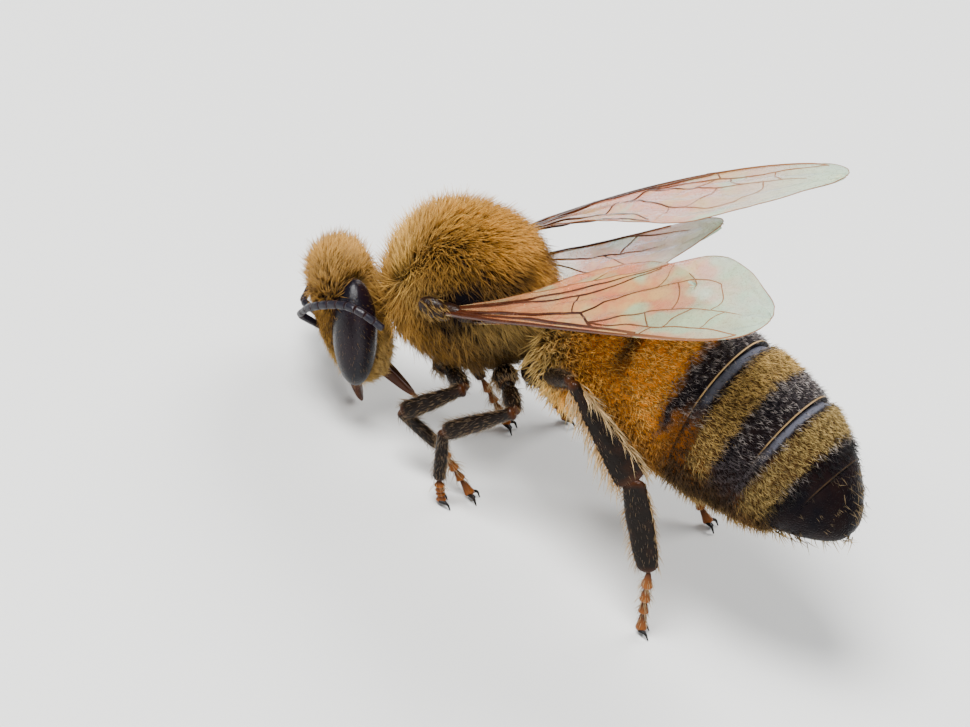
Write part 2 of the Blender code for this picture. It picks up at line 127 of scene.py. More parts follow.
camera_back = CAMERA_BACK.normalized()
camera_right = (CAMERA_RIGHT - camera_back * CAMERA_RIGHT.dot(camera_back)).normalized()
camera_up = camera_back.cross(camera_right)
camera_data = bpy.data.cameras.new("camera")
camera_data.sensor_width = SENSOR_WIDTH
camera_data.lens = SENSOR_WIDTH * VIEW_DISTANCE / VIEW_WIDTH
camera_data.clip_start, camera_data.clip_end = NEAR_CLIP, FAR_CLIP
camera = show("camera", camera_data)
view_middle = ORIGIN + camera_right * VIEW_SHIFT[0] + camera_up * VIEW_SHIFT[1]
camera_axes = Matrix((camera_right, camera_up, camera_back)).transposed().to_4x4()
camera.matrix_world = Matrix.Translation((view_middle + camera_back * VIEW_DISTANCE) * MM) @ camera_axes
bpy.context.scene.camera = camera
print("lens in mm:", round(camera_data.lens, 1))

# %% [markdown]
# A soft studio has a pale room and a few large lamps. The main lamp stands above and in front of the bee, a
# weaker one fills the shade from the camera's side, and one behind lights the tips of the hair from the back,
# which is what makes fur look like fur.

# %% Floor and lamps
HALF_FLOOR = 1.5  # in metres
FLOOR_COLOUR, FLOOR_ROUGHNESS = (0.74, 0.74, 0.72), 0.7
ROOM_COLOUR, ROOM_STRENGTH = (0.86, 0.9, 0.95, 1), 0.36
LAMPS = (
    # name, direction from the bee, distance, size, strength
    ("key lamp", (-0.3, -0.4, 1.0), 300.0, 150.0, 2.3),
    ("fill lamp", (1.0, -1.0, 0.5), 320.0, 220.0, 0.35),
    ("rim lamp", (0.1, 1.0, 0.8), 300.0, 180.0, 1.0),
)


def open_material(name, colour, roughness, specular=0.5):
    """A new material with its tree and its shader. Nodes come later, where colour or roughness vary."""
    made = bpy.data.materials.new(name)
    made.use_nodes = True
    shader = made.node_tree.nodes["Principled BSDF"]
    shader.inputs["Base Color"].default_value = (*colour, 1.0)
    shader.inputs["Roughness"].default_value = roughness
    shader.inputs["Specular IOR Level"].default_value = specular
    return made, made.node_tree, shader


corners = [(x * HALF_FLOOR, y * HALF_FLOOR, 0) for x, y in ((-1, -1), (1, -1), (1, 1), (-1, 1))]
floor_mesh = bpy.data.meshes.new("floor")
floor_mesh.from_pydata(corners, [], [(0, 1, 2, 3)])
floor_mesh.materials.append(open_material("pale floor", FLOOR_COLOUR, FLOOR_ROUGHNESS)[0])
show("floor", floor_mesh)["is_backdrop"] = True

world = bpy.data.worlds.new("studio")
world.use_nodes = True
world.node_tree.nodes["Background"].inputs["Color"].default_value = ROOM_COLOUR
world.node_tree.nodes["Background"].inputs["Strength"].default_value = ROOM_STRENGTH
bpy.context.scene.world = world
for name, direction, distance, size, strength in LAMPS:
    lamp_data = bpy.data.lights.new(name, "AREA")
    lamp_data.shape = "DISK"
    lamp_data.size = size * MM
    lamp_data.energy = strength
    lamp = show(name, lamp_data)
    towards = Vector(direction).normalized()
    lamp.location = (ORIGIN + towards * distance) * MM
    lamp.rotation_euler = towards.to_track_quat("Z", "Y").to_euler()
print("lamps:", len(LAMPS))

# %% [markdown]
# ## A small kit for nodes
#
# Materials are made of nodes, and nodes are wordy in a script. So a number that runs through a tree is
# wrapped as a `Wire` here. It adds and multiplies like a plain number, and each such step makes the node that
# does it. What follows then reads as a sum and not as a list of sockets.

# %% Wires
class Wire:
    """An output in a node tree, with sums that make their own nodes."""

    def __init__(self, socket):
        self.socket, self.tree = socket, socket.id_data

    def math(self, operation, first, second=0.0):
        return wire_from(self.tree, "ShaderNodeMath", 0, {0: first, 1: second}, operation=operation)

    def __add__(self, other):
        return self.math("ADD", self, other)

    def __radd__(self, other):
        return self.math("ADD", other, self)

    def __sub__(self, other):
        return self.math("SUBTRACT", self, other)

    def __rsub__(self, other):
        return self.math("SUBTRACT", other, self)

    def __mul__(self, other):
        return self.math("MULTIPLY", self, other)

    def __truediv__(self, other):
        return self.math("DIVIDE", self, other)

    def held(self):
        """Keeps this sum between 0 and 1."""
        self.socket.node.use_clamp = True
        return self

    def rise(self, low, high):
        """0 below the low value, 1 above the high one and smooth between them."""
        given = {0: self, 1: low, 2: high}
        return wire_from(self.tree, "ShaderNodeMapRange", 0, given, interpolation_type="SMOOTHSTEP")

    def fall(self, low, high):
        """1 below the low value and 0 above the high one."""
        return 1.0 - self.rise(low, high)


def feed(socket, value):
    """Connects a wire to a socket, or sets a plain value there. A colour gets its fourth number."""
    if isinstance(value, Wire):
        value.tree.links.new(value.socket, socket)
    elif socket.type == "RGBA":
        socket.default_value = (*value, 1.0)
    else:
        socket.default_value = value


def add_node(tree, kind, given=None, **settings):
    """A node of this kind, with its settings, and with values or wires on its inputs."""
    made = tree.nodes.new(kind)
    for key, value in settings.items():
        setattr(made, key, value)
    for key, value in (given or {}).items():
        feed(made.inputs[key], value)
    return made


def wire_from(tree, kind, output, given=None, **settings):
    """One output of a new node, as a wire."""
    return Wire(add_node(tree, kind, given, **settings).outputs[output])


def new_group(name, kind, given, made):
    """A node group with these named inputs and outputs: its tree, its inputs as wires and its output node."""
    tree = bpy.data.node_groups.new(name, kind)
    for sockets, way in ((given, "INPUT"), (made, "OUTPUT")):
        for label, socket_kind in sockets.items():
            tree.interface.new_socket(label, in_out=way, socket_type="NodeSocket" + socket_kind)
    wires = {output.name: Wire(output) for output in add_node(tree, "NodeGroupInput").outputs if output.name}
    return tree, wires, add_node(tree, "NodeGroupOutput").inputs


print("a wire can:", [word for word in vars(Wire) if not word.startswith("_")])

# %% [markdown]
# A second handful of helpers holds what nearly every material here needs: a blend of two colours, a number
# that the mesh carries, noise that stays fixed to the piece, and a bump made from a height.

# %% Material helpers
def blend(share, first, second):
    """The first colour where the share is 0 and the second where it is 1."""
    given = {"Factor": share, 6: first, 7: second}
    return wire_from(share.tree, "ShaderNodeMix", 2, given, data_type="RGBA")


def read(tree, name, output="Fac"):
    """What the mesh carries at each point under this name."""
    return wire_from(tree, "ShaderNodeAttribute", output, attribute_name=name)


def place_on(tree):
    """The place on the piece itself, so that no pattern slides over it."""
    return wire_from(tree, "ShaderNodeTexCoord", "Object")


def grain(tree, waves, detail=2.0, roughness=0.5):
    """Noise with this many waves in a metre."""
    given = {"Vector": place_on(tree), "Scale": waves, "Detail": detail, "Roughness": roughness}
    return wire_from(tree, "ShaderNodeTexNoise", "Fac", given)


def cells(tree, cells_in_a_metre):
    """How far each place is from the middle of its cell, in a net of cells."""
    given = {"Vector": place_on(tree), "Scale": cells_in_a_metre}
    return wire_from(tree, "ShaderNodeTexVoronoi", "Distance", given)


def bump(height, depth):
    """A normal that follows a height, whose full range is this many millimetres."""
    given = {"Distance": depth * MM, "Height": height}
    return wire_from(height.tree, "ShaderNodeBump", "Normal", given)


def toned(colour, value, saturation=1.0):
    """A colour made darker or lighter by this factor, and more or less vivid."""
    given = {"Saturation": saturation, "Value": value, "Color": colour}
    return wire_from(colour.tree, "ShaderNodeHueSaturation", "Color", given)


def paint(shader, colour, roughness, normal=None):
    """Feeds a shader with what varies over the surface."""
    feed(shader.inputs["Base Color"], colour)
    feed(shader.inputs["Roughness"], roughness)
    if normal:
        feed(shader.inputs["Normal"], normal)


print("material helpers ready")

# %% [markdown]
# ## Rings, and skins through rings
#
# An insect's body is close to a row of rings. So the shell pieces are lofts: rings of points along a line,
# joined by faces. The helpers in this cell lay out the rings and the lines that they follow.

# %% Rings and lines
def directions(along, face):
    """Two unit directions square to `along`: across, and the one nearest to `face`."""
    across = face.cross(along).normalized()
    return across, along.cross(across).normalized()


def ring_of(centre, across, up, half_width, half_height, sides, roundness=2.0):
    """An ellipse, or a squarer closed curve, as points."""
    points = []
    for step in range(sides):
        angle = 2 * math.pi * step / sides
        cosine, sine = math.cos(angle), math.sin(angle)
        side = math.copysign(abs(cosine) ** (2 / roundness), cosine)
        height = math.copysign(abs(sine) ** (2 / roundness), sine)
        points.append(centre + across * (half_width * side) + up * (half_height * height))
    return points


def ball_steps(rows, roundness=2.0):
    """Where the rings of a ball lie along its axis, from -1 to 1, and how large each is."""
    for step in range(rows):
        reach = -math.cos(math.pi * (step + 0.4) / (rows - 0.2))
        yield reach, (1 - abs(reach) ** roundness) ** (1 / roundness)


def curve_through(points, steps):
    """Points of a smooth curve through the given ones."""
    ends = [points[0] * 2 - points[1], *points, points[-1] * 2 - points[-2]]
    curve = []
    for before, start, end, after in zip(ends, ends[1:], ends[2:], ends[3:]):
        for step in range(steps):
            t = step / steps
            leave, arrive = (end - before) / 2, (after - start) / 2
            hold = start * (2 * t**3 - 3 * t**2 + 1) + end * (3 * t**2 - 2 * t**3)
            curve.append(hold + leave * (t**3 - 2 * t**2 + t) + arrive * (t**3 - t**2))
    return [*curve, points[-1]]


print("rings of a ball in four steps:", [round(size, 2) for _, size in ball_steps(4)])

# %% [markdown]
# The loft closes both ends with a fan of faces. It also unwraps the surface ring by ring into a UV map called
# OFBake. The coat needs that later, since each tuft looks up its place there.

# %% Loft
LOFT_SHARP_ANGLE = math.radians(40)


def mesh_of(name, points, faces=()):
    """A mesh from points and faces."""
    mesh = bpy.data.meshes.new(name)
    mesh.from_pydata(points, [], faces)
    return mesh


def turn_outwards(mesh):
    """Turns the faces of a closed mesh so that they all look out, and shades it smooth."""
    turned = bmesh.new()
    turned.from_mesh(mesh)
    bmesh.ops.recalc_face_normals(turned, faces=turned.faces)
    turned.to_mesh(mesh)
    turned.free()
    mesh.shade_smooth()


def loft(name, rings):
    """A closed, smooth skin through equal rings, with its rows and sides laid out in the UV map OFBake."""
    sides, rows = len(rings[0]), len(rings)
    points = [point for ring in rings for point in ring]
    points += [sum(rings[0], Vector()) / sides, sum(rings[-1], Vector()) / sides]
    faces, places = [], []
    for low in range(0, (rows - 1) * sides, sides):
        row, high = low // sides, low + sides
        for side in range(sides):
            after = (side + 1) % sides
            faces.append((low + side, low + after, high + after, high + side))
            places += [(side, row + 1), (side + 1, row + 1), (side + 1, row + 2), (side, row + 2)]
    last = (rows - 1) * sides
    for side in range(sides):
        after = (side + 1) % sides
        faces += [(after, side, rows * sides), (last + side, last + after, rows * sides + 1)]
        places += [(side + 1, 1), (side, 1), (side + 0.5, 0)]
        places += [(side, rows), (side + 1, rows), (side + 0.5, rows + 1)]
    mesh = mesh_of(name, points, faces)
    unwrap = mesh.uv_layers.new(name="OFBake")
    unwrap.data.foreach_set("uv", (np.array(places) / (sides, rows + 1)).ravel())
    turn_outwards(mesh)
    mesh.set_sharp_from_angle(angle=LOFT_SHARP_ANGLE)
    return show(name, mesh)


def tube(name, points, radii, sides=10, flatten=1.0, up=UP):
    """A tapering round or flattened tube along a curve. The radii are spread evenly over its length."""
    rings = []
    last = len(points) - 1
    for step, centre in enumerate(points):
        along = (points[min(step + 1, last)] - points[max(step - 1, 0)]).normalized()
        across, up = directions(along, up)
        radius = float(np.interp(step / last, np.linspace(0, 1, len(radii)), radii))
        rings.append(ring_of(centre, across, up, radius, radius * flatten, sides))
    return loft(name, rings)


print("loft ready")

# %% [markdown] Each point of a mesh can carry numbers of its own, which trees and materials read later.
# This cell has the helpers that store such numbers and read them back.

# %% Numbers on meshes, and the last step
def carry(mesh, **numbers):
    """Stores numbers, or directions, for the points of a mesh. One number alone holds for every point."""
    for name, values in numbers.items():
        values = np.asarray(values, np.float32)
        if values.ndim == 0:
            values = np.full(len(mesh.vertices), values)
        kind, key = ("FLOAT", "value") if values.ndim == 1 else ("FLOAT_VECTOR", "vector")
        mesh.attributes.new(name, kind, "POINT").data.foreach_set(key, values.ravel())


def read_back(rows, key, width=1):
    """One property of each row of mesh data, as an array."""
    found = np.empty(len(rows) * width, np.float32)
    rows.foreach_get(key, found)
    return found.reshape(-1, width) if width > 1 else found


def points_of(mesh):
    """A mesh's points as an array."""
    return read_back(mesh.vertices, "co", 3)


def drop_unwrap(mesh):
    """Removes the unwrap of a piece that no tuft looks up."""
    while mesh.uv_layers:
        mesh.uv_layers.remove(mesh.uv_layers[0])


def joined(name, pieces):
    """Several objects made one."""
    with bpy.context.temp_override(active_object=pieces[0], selected_editable_objects=pieces):
        bpy.ops.object.join()
    pieces[0].name = name
    pieces[0].data.name = name
    return pieces[0]


def made_plain(piece):
    """Turns what a piece's modifiers make of it into its own plain mesh."""
    bpy.context.view_layer.update()
    mesh = bpy.data.meshes.new_from_object(piece.evaluated_get(bpy.context.evaluated_depsgraph_get()))
    piece.modifiers.clear()
    piece.data = mesh
    mesh.name = piece.name
    return piece


def settle(piece, slot, *nodes):
    """The last step of a piece: metres in place of millimetres, and its place in the frame."""
    piece.data.transform(Matrix.Scale(MM, 4))
    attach(piece, "root")
    if nodes:
        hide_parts(*nodes)
    piece.data.calc_loop_triangles()
    print(piece.name, len(piece.data.loop_triangles), "triangles")


def finished(piece, material, slot, *nodes):
    """Gives a piece its material, drops its unwrap and settles it."""
    piece.data.materials.clear()
    piece.data.materials.append(material)
    drop_unwrap(piece.data)
    settle(piece, slot, *nodes)


print("last step ready")

# %% [markdown]
# ## The shell of the body
#
# Under its hair a bee is a hard shell: a lens-shaped head, a nearly round thorax and an abdomen of six
# overlapping rings. Each is a loft that lies inside its solid by the depth of the coat. Then a Boolean union
# makes them one closed skin, so that no seam shows where they meet. The thorax comes first.

# %% Thorax
BODY_ROWS, BODY_SIDES = 44, 72
THORAX_CENTRE = (0.1, 0.0, 0.0)
THORAX_LENGTH, THORAX_WIDTH, THORAX_HEIGHT = 4.35, 4.0, 4.15
THORAX_PITCH = math.radians(16.0)
THORAX_ROUNDNESS = 2.15
THORAX_DROOP = 0.25  # how far both its ends hang down
THORAX_COAT = 0.42

thorax_along = Matrix.Rotation(-THORAX_PITCH, 3, "Y") @ X
thorax_across, thorax_up = directions(thorax_along, UP)
rings = []
for reach, size in ball_steps(BODY_ROWS, THORAX_ROUNDNESS):
    travel = thorax_along * (reach * (THORAX_LENGTH / 2 - THORAX_COAT))
    centre = at(*THORAX_CENTRE) + travel - thorax_up * (THORAX_DROOP * reach**4)
    width, height = (size * (full / 2 - THORAX_COAT) for full in (THORAX_WIDTH, THORAX_HEIGHT))
    rings.append(ring_of(centre, thorax_across, thorax_up, width, height, BODY_SIDES, THORAX_ROUNDNESS))
thorax = loft("thorax_shell", rings)
print("rings of the thorax:", len(rings))

# %% [markdown]
# The head hangs below the front of the thorax, tucked in and turned a little to the left. It gets directions
# of its own, in which the places of eyes, feelers and jaws are easy to say.

# %% Head
HEAD_CENTRE = (-2.12, -0.15, -2.35)
HEAD_TUCK, HEAD_TURN = math.radians(49.0), math.radians(27.0)
HEAD_WIDTH, HEAD_DEPTH = 3.6, 1.8
HEAD_ROUNDNESS, HEAD_RING_ROUNDNESS = 2.4, 2.1
BROW_FLARE = 0.16  # how much wider it is at the crown than halfway down
CROWN, JAW_LINE = 1.75, -1.6  # heights above the head's centre
HEAD_COAT = 0.2

head_crown = Vector((-math.cos(HEAD_TUCK), 0, math.sin(HEAD_TUCK)))
head_turn = Matrix.Rotation(HEAD_TURN, 3, head_crown)
head_left = head_turn @ -Y
head_nape = head_turn @ Vector((math.sin(HEAD_TUCK), 0, math.cos(HEAD_TUCK)))
head_axes = Matrix((head_left, head_nape, head_crown)).transposed()


def in_head(x, y, z):
    """A place in the head's own directions: to its left, out of its nape and towards its crown."""
    return at(*HEAD_CENTRE) + head_axes @ Vector((x, y, z))


rings = []
for reach, size in ball_steps(BODY_ROWS, HEAD_ROUNDNESS):
    width = size * (HEAD_WIDTH / 2 * (1 + BROW_FLARE * reach) - HEAD_COAT)
    depth = size * (HEAD_DEPTH / 2 - HEAD_COAT)
    centre = in_head(0, 0, (CROWN + JAW_LINE) / 2 + reach * ((CROWN - JAW_LINE) / 2 - HEAD_COAT))
    rings.append(ring_of(centre, head_left, head_nape, width, depth, BODY_SIDES, HEAD_RING_ROUNDNESS))
head = loft("head_shell", rings)
print("middle of the head:", [round(value, 2) for value in in_head(0, 0, 0)])

# %% [markdown]
# The abdomen is one loft too, but its rings step: each plate ends in a sharp rim, and the next one starts a
# little deeper, under that rim. The steps are deepest on the back and fade out down the flanks. `ring`
# counts the plates, so 2.4 is 40% of the way along the third. `around` is 0 on the back and 1 on the belly.

# %% Sizes of the abdomen
ABDOMEN_FOOT = (2.42, 0.0, 0.28)
ABDOMEN_YAW = math.radians(-6.0)
ABDOMEN_SEGMENTS = (
    # length, half width, half height, pitch, depth of the step at its front
    (1.0, 1.62, 1.46, 16.0, 0.0),
    (1.5, 2.02, 1.84, 9.0, 0.06),
    (1.7, 2.1, 1.92, 3.0, 0.06),
    (1.7, 1.92, 1.74, -3.0, 0.15),
    (1.35, 1.42, 1.24, -11.0, 0.15),
    (1.12, 0.28, 0.24, -20.0, 0.05),
)
ABDOMEN_FRONT = 0.55  # half its width and height where the waist enters
ABDOMEN_COAT = 0.13
ABDOMEN_SIDES, ABDOMEN_ROUNDNESS = 112, 2.1
END_DOME = 0.6  # power of the swelling of the first and the last plate
RING_BOW = 1.2  # and of those between
STEP_SHARE = 0.2  # of a plate's length that its front step takes
FLANK_STEP = 0.3  # of the step's depth that is left on the flanks
LEAST_RADIUS = 0.05
PLATE_STATIONS = (0.0, 0.03, 0.08, 0.14, 0.2, 0.3, 0.42, 0.55, 0.68, 0.8, 0.9, 0.96, 1.0)


def abdomen_line():
    """Place and direction of the front of each plate, and of the tip."""
    yaw = Matrix.Rotation(ABDOMEN_YAW, 3, "Z")
    centre = at(*ABDOMEN_FOOT)
    line = []
    for length, _, _, pitch, _ in ABDOMEN_SEGMENTS:
        along = yaw @ Matrix.Rotation(-math.radians(pitch), 3, "Y") @ X
        line.append((centre, along))
        centre = centre + along * length
    return [*line, (centre, along)]


print("length of the abdomen:", sum(segment[0] for segment in ABDOMEN_SEGMENTS))

# %% [markdown]
# Each plate is a run of rings along its part of the abdomen's line. A ring starts as a circle one unit wide,
# and its points are moved out by the plate's width and height there, less the dip of the step at its front.

# %% Abdomen
line = abdomen_line()
rings, ring_values, around_values = [], [], []
front_width = front_height = ABDOMEN_FRONT
last_plate = len(ABDOMEN_SEGMENTS) - 1
for plate, (_, half_width, half_height, _, step_depth) in enumerate(ABDOMEN_SEGMENTS):
    (start, along), (end, after) = line[plate : plate + 2]
    start_along = (along + line[max(plate - 1, 0)][1]).normalized()
    end_along = (along + after).normalized()
    for share in PLATE_STATIONS:
        across, up = directions(start_along.lerp(end_along, share).normalized(), UP)
        bow = END_DOME if plate in (0, last_plate) else RING_BOW
        swell = 1 - (1 - share) ** bow if plate == last_plate else share**bow
        width = front_width + (half_width - front_width) * swell - ABDOMEN_COAT
        height = front_height + (half_height - front_height) * swell - ABDOMEN_COAT
        fade = max(0.0, 1 - share / STEP_SHARE) ** 1.5
        centre = start.lerp(end, share)
        points = ring_of(centre, across, up, 1, 1, ABDOMEN_SIDES, ABDOMEN_ROUNDNESS)
        for side, point in enumerate(points):
            rising = math.sin(2 * math.pi * side / ABDOMEN_SIDES)
            dip = step_depth * fade * (FLANK_STEP + (1 - FLANK_STEP) * max(0.0, rising))
            spoke = point - centre
            reach = across * (spoke.dot(across) * max(width - dip, LEAST_RADIUS))
            points[side] = centre + reach + up * (spoke.dot(up) * max(height - dip, LEAST_RADIUS))
            around_values.append(0.5 - math.asin(rising) / math.pi)
            ring_values.append(plate + min(share, 0.999))
        rings.append(points)
    front_width, front_height = half_width, half_height
ring_values += [0.0, 5.99]  # for the middles of both ends
around_values += [0.5, 0.5]
abdomen = loft("abdomen_shell", rings)
carry(abdomen.data, ring=ring_values, around=around_values)
print("rings of the abdomen:", len(rings))

# %% [markdown]
# Neck and waist are short thick rods, sunk into their neighbours. They and the head and thorax carry `ring`
# and `around` too. Below zero, `ring` stands for places in front of the abdomen: from -2 up the head, and
# from -1 up the thorax, where it follows how golden the hair grows.

# %% Neck, waist, and the numbers of the front
NECK_RADIUS = 0.4
WAIST_RADII = (0.5, 0.34, 0.5)
ROD_SIDES = 32


def smooth(values, low, high):
    """0 below low, 1 above high and smooth between, for arrays."""
    share = np.clip((values - low) / (high - low), 0, 1)
    return share * share * (3 - 2 * share)


def fractions_of(points, centre, axes, halves):
    """Places in a frame whose box has these half sides, so that a point of the box's face reads 1."""
    return (points - np.array(centre)) @ np.array(axes) / np.array(halves)


neck_start = in_head(0, HEAD_DEPTH * 0.25, 0.25)
neck_line = curve_through([neck_start, neck_start.lerp(at(-0.7, 0, -0.9), 0.5), at(-0.5, 0, -0.8)], 4)
neck = tube("neck_rod", neck_line, (NECK_RADIUS, NECK_RADIUS), ROD_SIDES)
waist_line = curve_through([at(1.2, 0, -0.35), at(2.1, -0.01, -0.1), at(3.0, -0.05, 0.3)], 4)
waist = tube("waist_rod", waist_line, WAIST_RADII, ROD_SIDES)

head_points, thorax_points = points_of(head.data), points_of(thorax.data)
head_halves = (HEAD_WIDTH / 2, HEAD_DEPTH / 2, CROWN)
head_reach = fractions_of(head_points, in_head(0, 0, 0), head_axes, head_halves)
thorax_axes = Matrix((thorax_along, thorax_across, thorax_up)).transposed()
thorax_halves = (THORAX_LENGTH / 2, THORAX_WIDTH / 2, THORAX_HEIGHT / 2)
thorax_reach = fractions_of(thorax_points, at(*THORAX_CENTRE), thorax_axes, thorax_halves)
warmth = smooth(thorax_reach[:, 0] * 0.6 + thorax_reach[:, 2] * 0.8, -0.3, 0.95)
carry(head.data, ring=-2 + 0.98 * smooth(head_reach[:, 2], -0.9, 1.0), around=0.5)
carry(thorax.data, ring=-1 + 0.95 * warmth, around=0.5 - 0.5 * np.clip(thorax_reach[:, 2] / 0.8, -1, 1))
carry(neck.data, ring=-0.95, around=0.6)
carry(waist.data, ring=-0.6, around=0.6)
print("share of the thorax that is warm:", round(float(warmth.mean()), 2))

# %% [markdown]
# The union is done with Boolean modifiers on a copy of the thorax. A union forgets which plate a point came
# from, so each point of the result asks its nearest neighbour on the lofts for its two numbers.

# %% One skin
sources = [thorax, head, neck, waist, abdomen]
skin = show("skin", thorax.data.copy())
for piece in sources[1:]:
    union = skin.modifiers.new(piece.name, "BOOLEAN")
    union.operation, union.solver, union.object = "UNION", "EXACT", piece
made_plain(skin)

source_points = [point for piece in sources for point in points_of(piece.data)]
nearest = kdtree.KDTree(len(source_points))
for row, point in enumerate(source_points):
    nearest.insert(point, row)
nearest.balance()
rows = [nearest.find(vertex.co)[1] for vertex in skin.data.vertices]
for name in ("ring", "around"):
    values = np.concatenate([read_back(piece.data.attributes[name].data, "value") for piece in sources])
    if name in skin.data.attributes:
        skin.data.attributes.remove(skin.data.attributes[name])
    carry(skin.data, **{name: values[rows]})
drop_unwrap(skin.data)
print("skin:", len(skin.data.polygons), "faces")

# %% [markdown]
# ## The markings
#
# Skin and coat must agree on where the dark bands lie, so the markings are one node group that both use. It
# reads the two numbers on the mesh. A row of colour stops along `ring` gives the back, another gives the
# flanks and the belly, and `around` blends the two.

# %% Colours and where they lie
FIRST_RING, LAST_RING = -2.0, 6.0
AMBER, DEEP_AMBER, BROWN = (0.64, 0.21, 0.014), (0.17, 0.052, 0.006), (0.045, 0.016, 0.005)
BLACK, UMBER, SLATE = (0.003, 0.0025, 0.004), (0.06, 0.03, 0.01), (0.085, 0.088, 0.112)
CREAM, FAWN, GOLD = (0.45, 0.29, 0.13), (0.38, 0.19, 0.034), (0.56, 0.27, 0.036)
TAN, BUTTER, COPPER = (0.52, 0.3, 0.062), (1.0, 0.52, 0.11), (0.36, 0.155, 0.026)
OLIVE, DRAB, HONEY = (0.44, 0.3, 0.1), (0.2, 0.14, 0.07), (0.92, 0.43, 0.07)
RUST, STRAW, ASH = (0.54, 0.235, 0.028), (0.64, 0.41, 0.125), (0.43, 0.375, 0.34)
# The second colour on the next line is the black hair of the dark bands, made lighter than black as painted
# sheen.
DUN, SHEENED_BLACK = (0.14, 0.066, 0.017), (0.09, 0.074, 0.08)
BACK_SHELL = (
    (-2.0, BROWN), (-1.2, BLACK), (-0.1, BLACK), (0.0, BROWN), (0.4, DEEP_AMBER), (1.0, AMBER), (1.68, AMBER),
    (1.8, BROWN), (1.98, DEEP_AMBER), (2.0, AMBER), (2.56, AMBER), (2.72, BLACK), (3.15, BLACK), (3.24, UMBER),
    (3.5, UMBER), (3.62, BLACK), (4.15, BLACK), (4.24, UMBER), (4.54, UMBER), (4.68, BLACK), (5.0, BLACK),
)
FLANK_SHELL = (
    (-2.0, BROWN), (-1.0, BLACK), (-0.1, BLACK), (0.0, BROWN), (0.6, DEEP_AMBER), (2.0, AMBER), (2.72, AMBER),
    (2.85, DEEP_AMBER), (3.0, DEEP_AMBER), (3.5, DEEP_AMBER), (3.7, BLACK), (4.0, BROWN), (4.2, DEEP_AMBER),
    (4.45, BROWN), (4.66, BLACK), (5.0, BLACK),
)
BACK_HAIR = (
    (-2.0, STRAW), (-1.8, FAWN), (-1.35, DUN), (-1.02, DUN), (-1.0, TAN), (-0.72, FAWN), (-0.4, GOLD),
    (-0.1, RUST), (0.1, STRAW), (0.6, STRAW), (1.1, HONEY), (1.64, HONEY), (1.8, UMBER), (2.0, BUTTER),
    (2.52, BUTTER), (2.62, DUN), (2.72, SHEENED_BLACK), (3.1, SHEENED_BLACK), (3.2, STRAW), (3.52, STRAW), (3.62, SHEENED_BLACK),
    (4.1, SHEENED_BLACK), (4.2, OLIVE), (4.56, OLIVE), (4.68, BLACK), (4.95, BLACK), (5.2, DRAB),
)
FLANK_HAIR = (
    (-2.0, STRAW), (-1.5, FAWN), (-1.02, FAWN), (-1.0, FAWN), (-0.5, STRAW), (0.0, STRAW), (0.7, STRAW),
    (1.2, HONEY), (1.6, HONEY), (2.1, COPPER), (2.6, COPPER), (2.85, COPPER), (3.0, UMBER), (3.3, UMBER),
    (3.7, UMBER), (4.1, UMBER), (4.4, DUN), (4.72, UMBER), (5.5, DRAB),
)


def colour_stops(factor, stops):
    """Colours along a row of stops, each placed by its ring."""
    ramp = add_node(factor.tree, "ShaderNodeValToRGB", {0: factor})
    elements = ramp.color_ramp.elements
    while len(elements) < len(stops):
        elements.new(1.0)
    for element, (ring, colour) in zip(elements, stops):
        element.position = (ring - FIRST_RING) / (LAST_RING - FIRST_RING)
        element.color = (*colour, 1.0)
    return Wire(ramp.outputs["Color"])


print("stops on the back:", len(BACK_SHELL), "and in its hair:", len(BACK_HAIR))

# %% [markdown]
# The group sees to what the stops can't say. A wobble keeps the edges of the bands from being ruled lines,
# but not at the rims of the plates, which are sharp. The flanks begin lower down towards the rear. On the
# rear plates a slate strip shows where one plate slides out from under another, behind a thin pale rim.

# %% Markings
FLANK_EDGE, FLANK_BLEND = 0.3, 0.17  # where the flank begins, in `around`, and how wide the change is
RIM = 0.987  # share of a plate's length at which its thin pale rim begins
RIM_END = 0.9992  # beyond this comes the step down to the next plate
WOBBLE_WAVES, WOBBLE = 2600.0, 0.22


def markings_group():
    """Colours of shell and hair from `ring`, `around` and a wobble."""
    given = {"Ring": "Float", "Around": "Float", "Wobble": "Float"}
    tree, given, made = new_group("bee_markings", "ShaderNodeTree", given, {"Shell": "Color", "Hair": "Color"})
    plates, wobble = given["Ring"], given["Wobble"]
    part = plates.math("FRACT", plates)
    inner = part.rise(0.0, 0.2) * part.fall(0.8, 1.0)
    ring = plates + wobble * (plates.rise(0.0, 0.3) * inner)
    factor = (ring - FIRST_RING) / (LAST_RING - FIRST_RING)
    low = given["Around"] + wobble * 0.6
    edge = FLANK_EDGE + plates.rise(1.95, 2.5) * 0.13 + plates.rise(2.9, 5.0) * 0.09
    edge = edge - ring.rise(2.74, 2.9) * ring.fall(3.15, 3.3) * 0.14
    flank = low.rise(edge, edge + FLANK_BLEND)
    shell = blend(flank, colour_stops(factor, BACK_SHELL), colour_stops(factor, FLANK_SHELL))
    hair = blend(flank, colour_stops(factor, BACK_HAIR), colour_stops(factor, FLANK_HAIR))
    belly = low.rise(0.68, 0.84) * plates.rise(0.0, 0.5)
    feed(made["Hair"], blend(belly * 0.75, hair, STRAW))
    rear = plates.rise(2.9, 2.95) * low.fall(0.27, 0.4)
    fore = plates.fall(4.98, 5.0)
    shell = blend(part.fall(0.09, 0.15) * fore * rear, shell, SLATE)
    # The pale rim stops short of the step, so the step face keeps the band's dark colour as a painted shadow
    # line under the rim.
    rim = part.rise(RIM - 0.01, RIM) * part.fall(RIM_END - 0.0002, RIM_END) * fore
    faint = 1.0 - plates.rise(3.2, 4.9) * 0.85
    feed(made["Shell"], blend(rim * faint * rear, shell, CREAM))
    return tree


markings = markings_group()


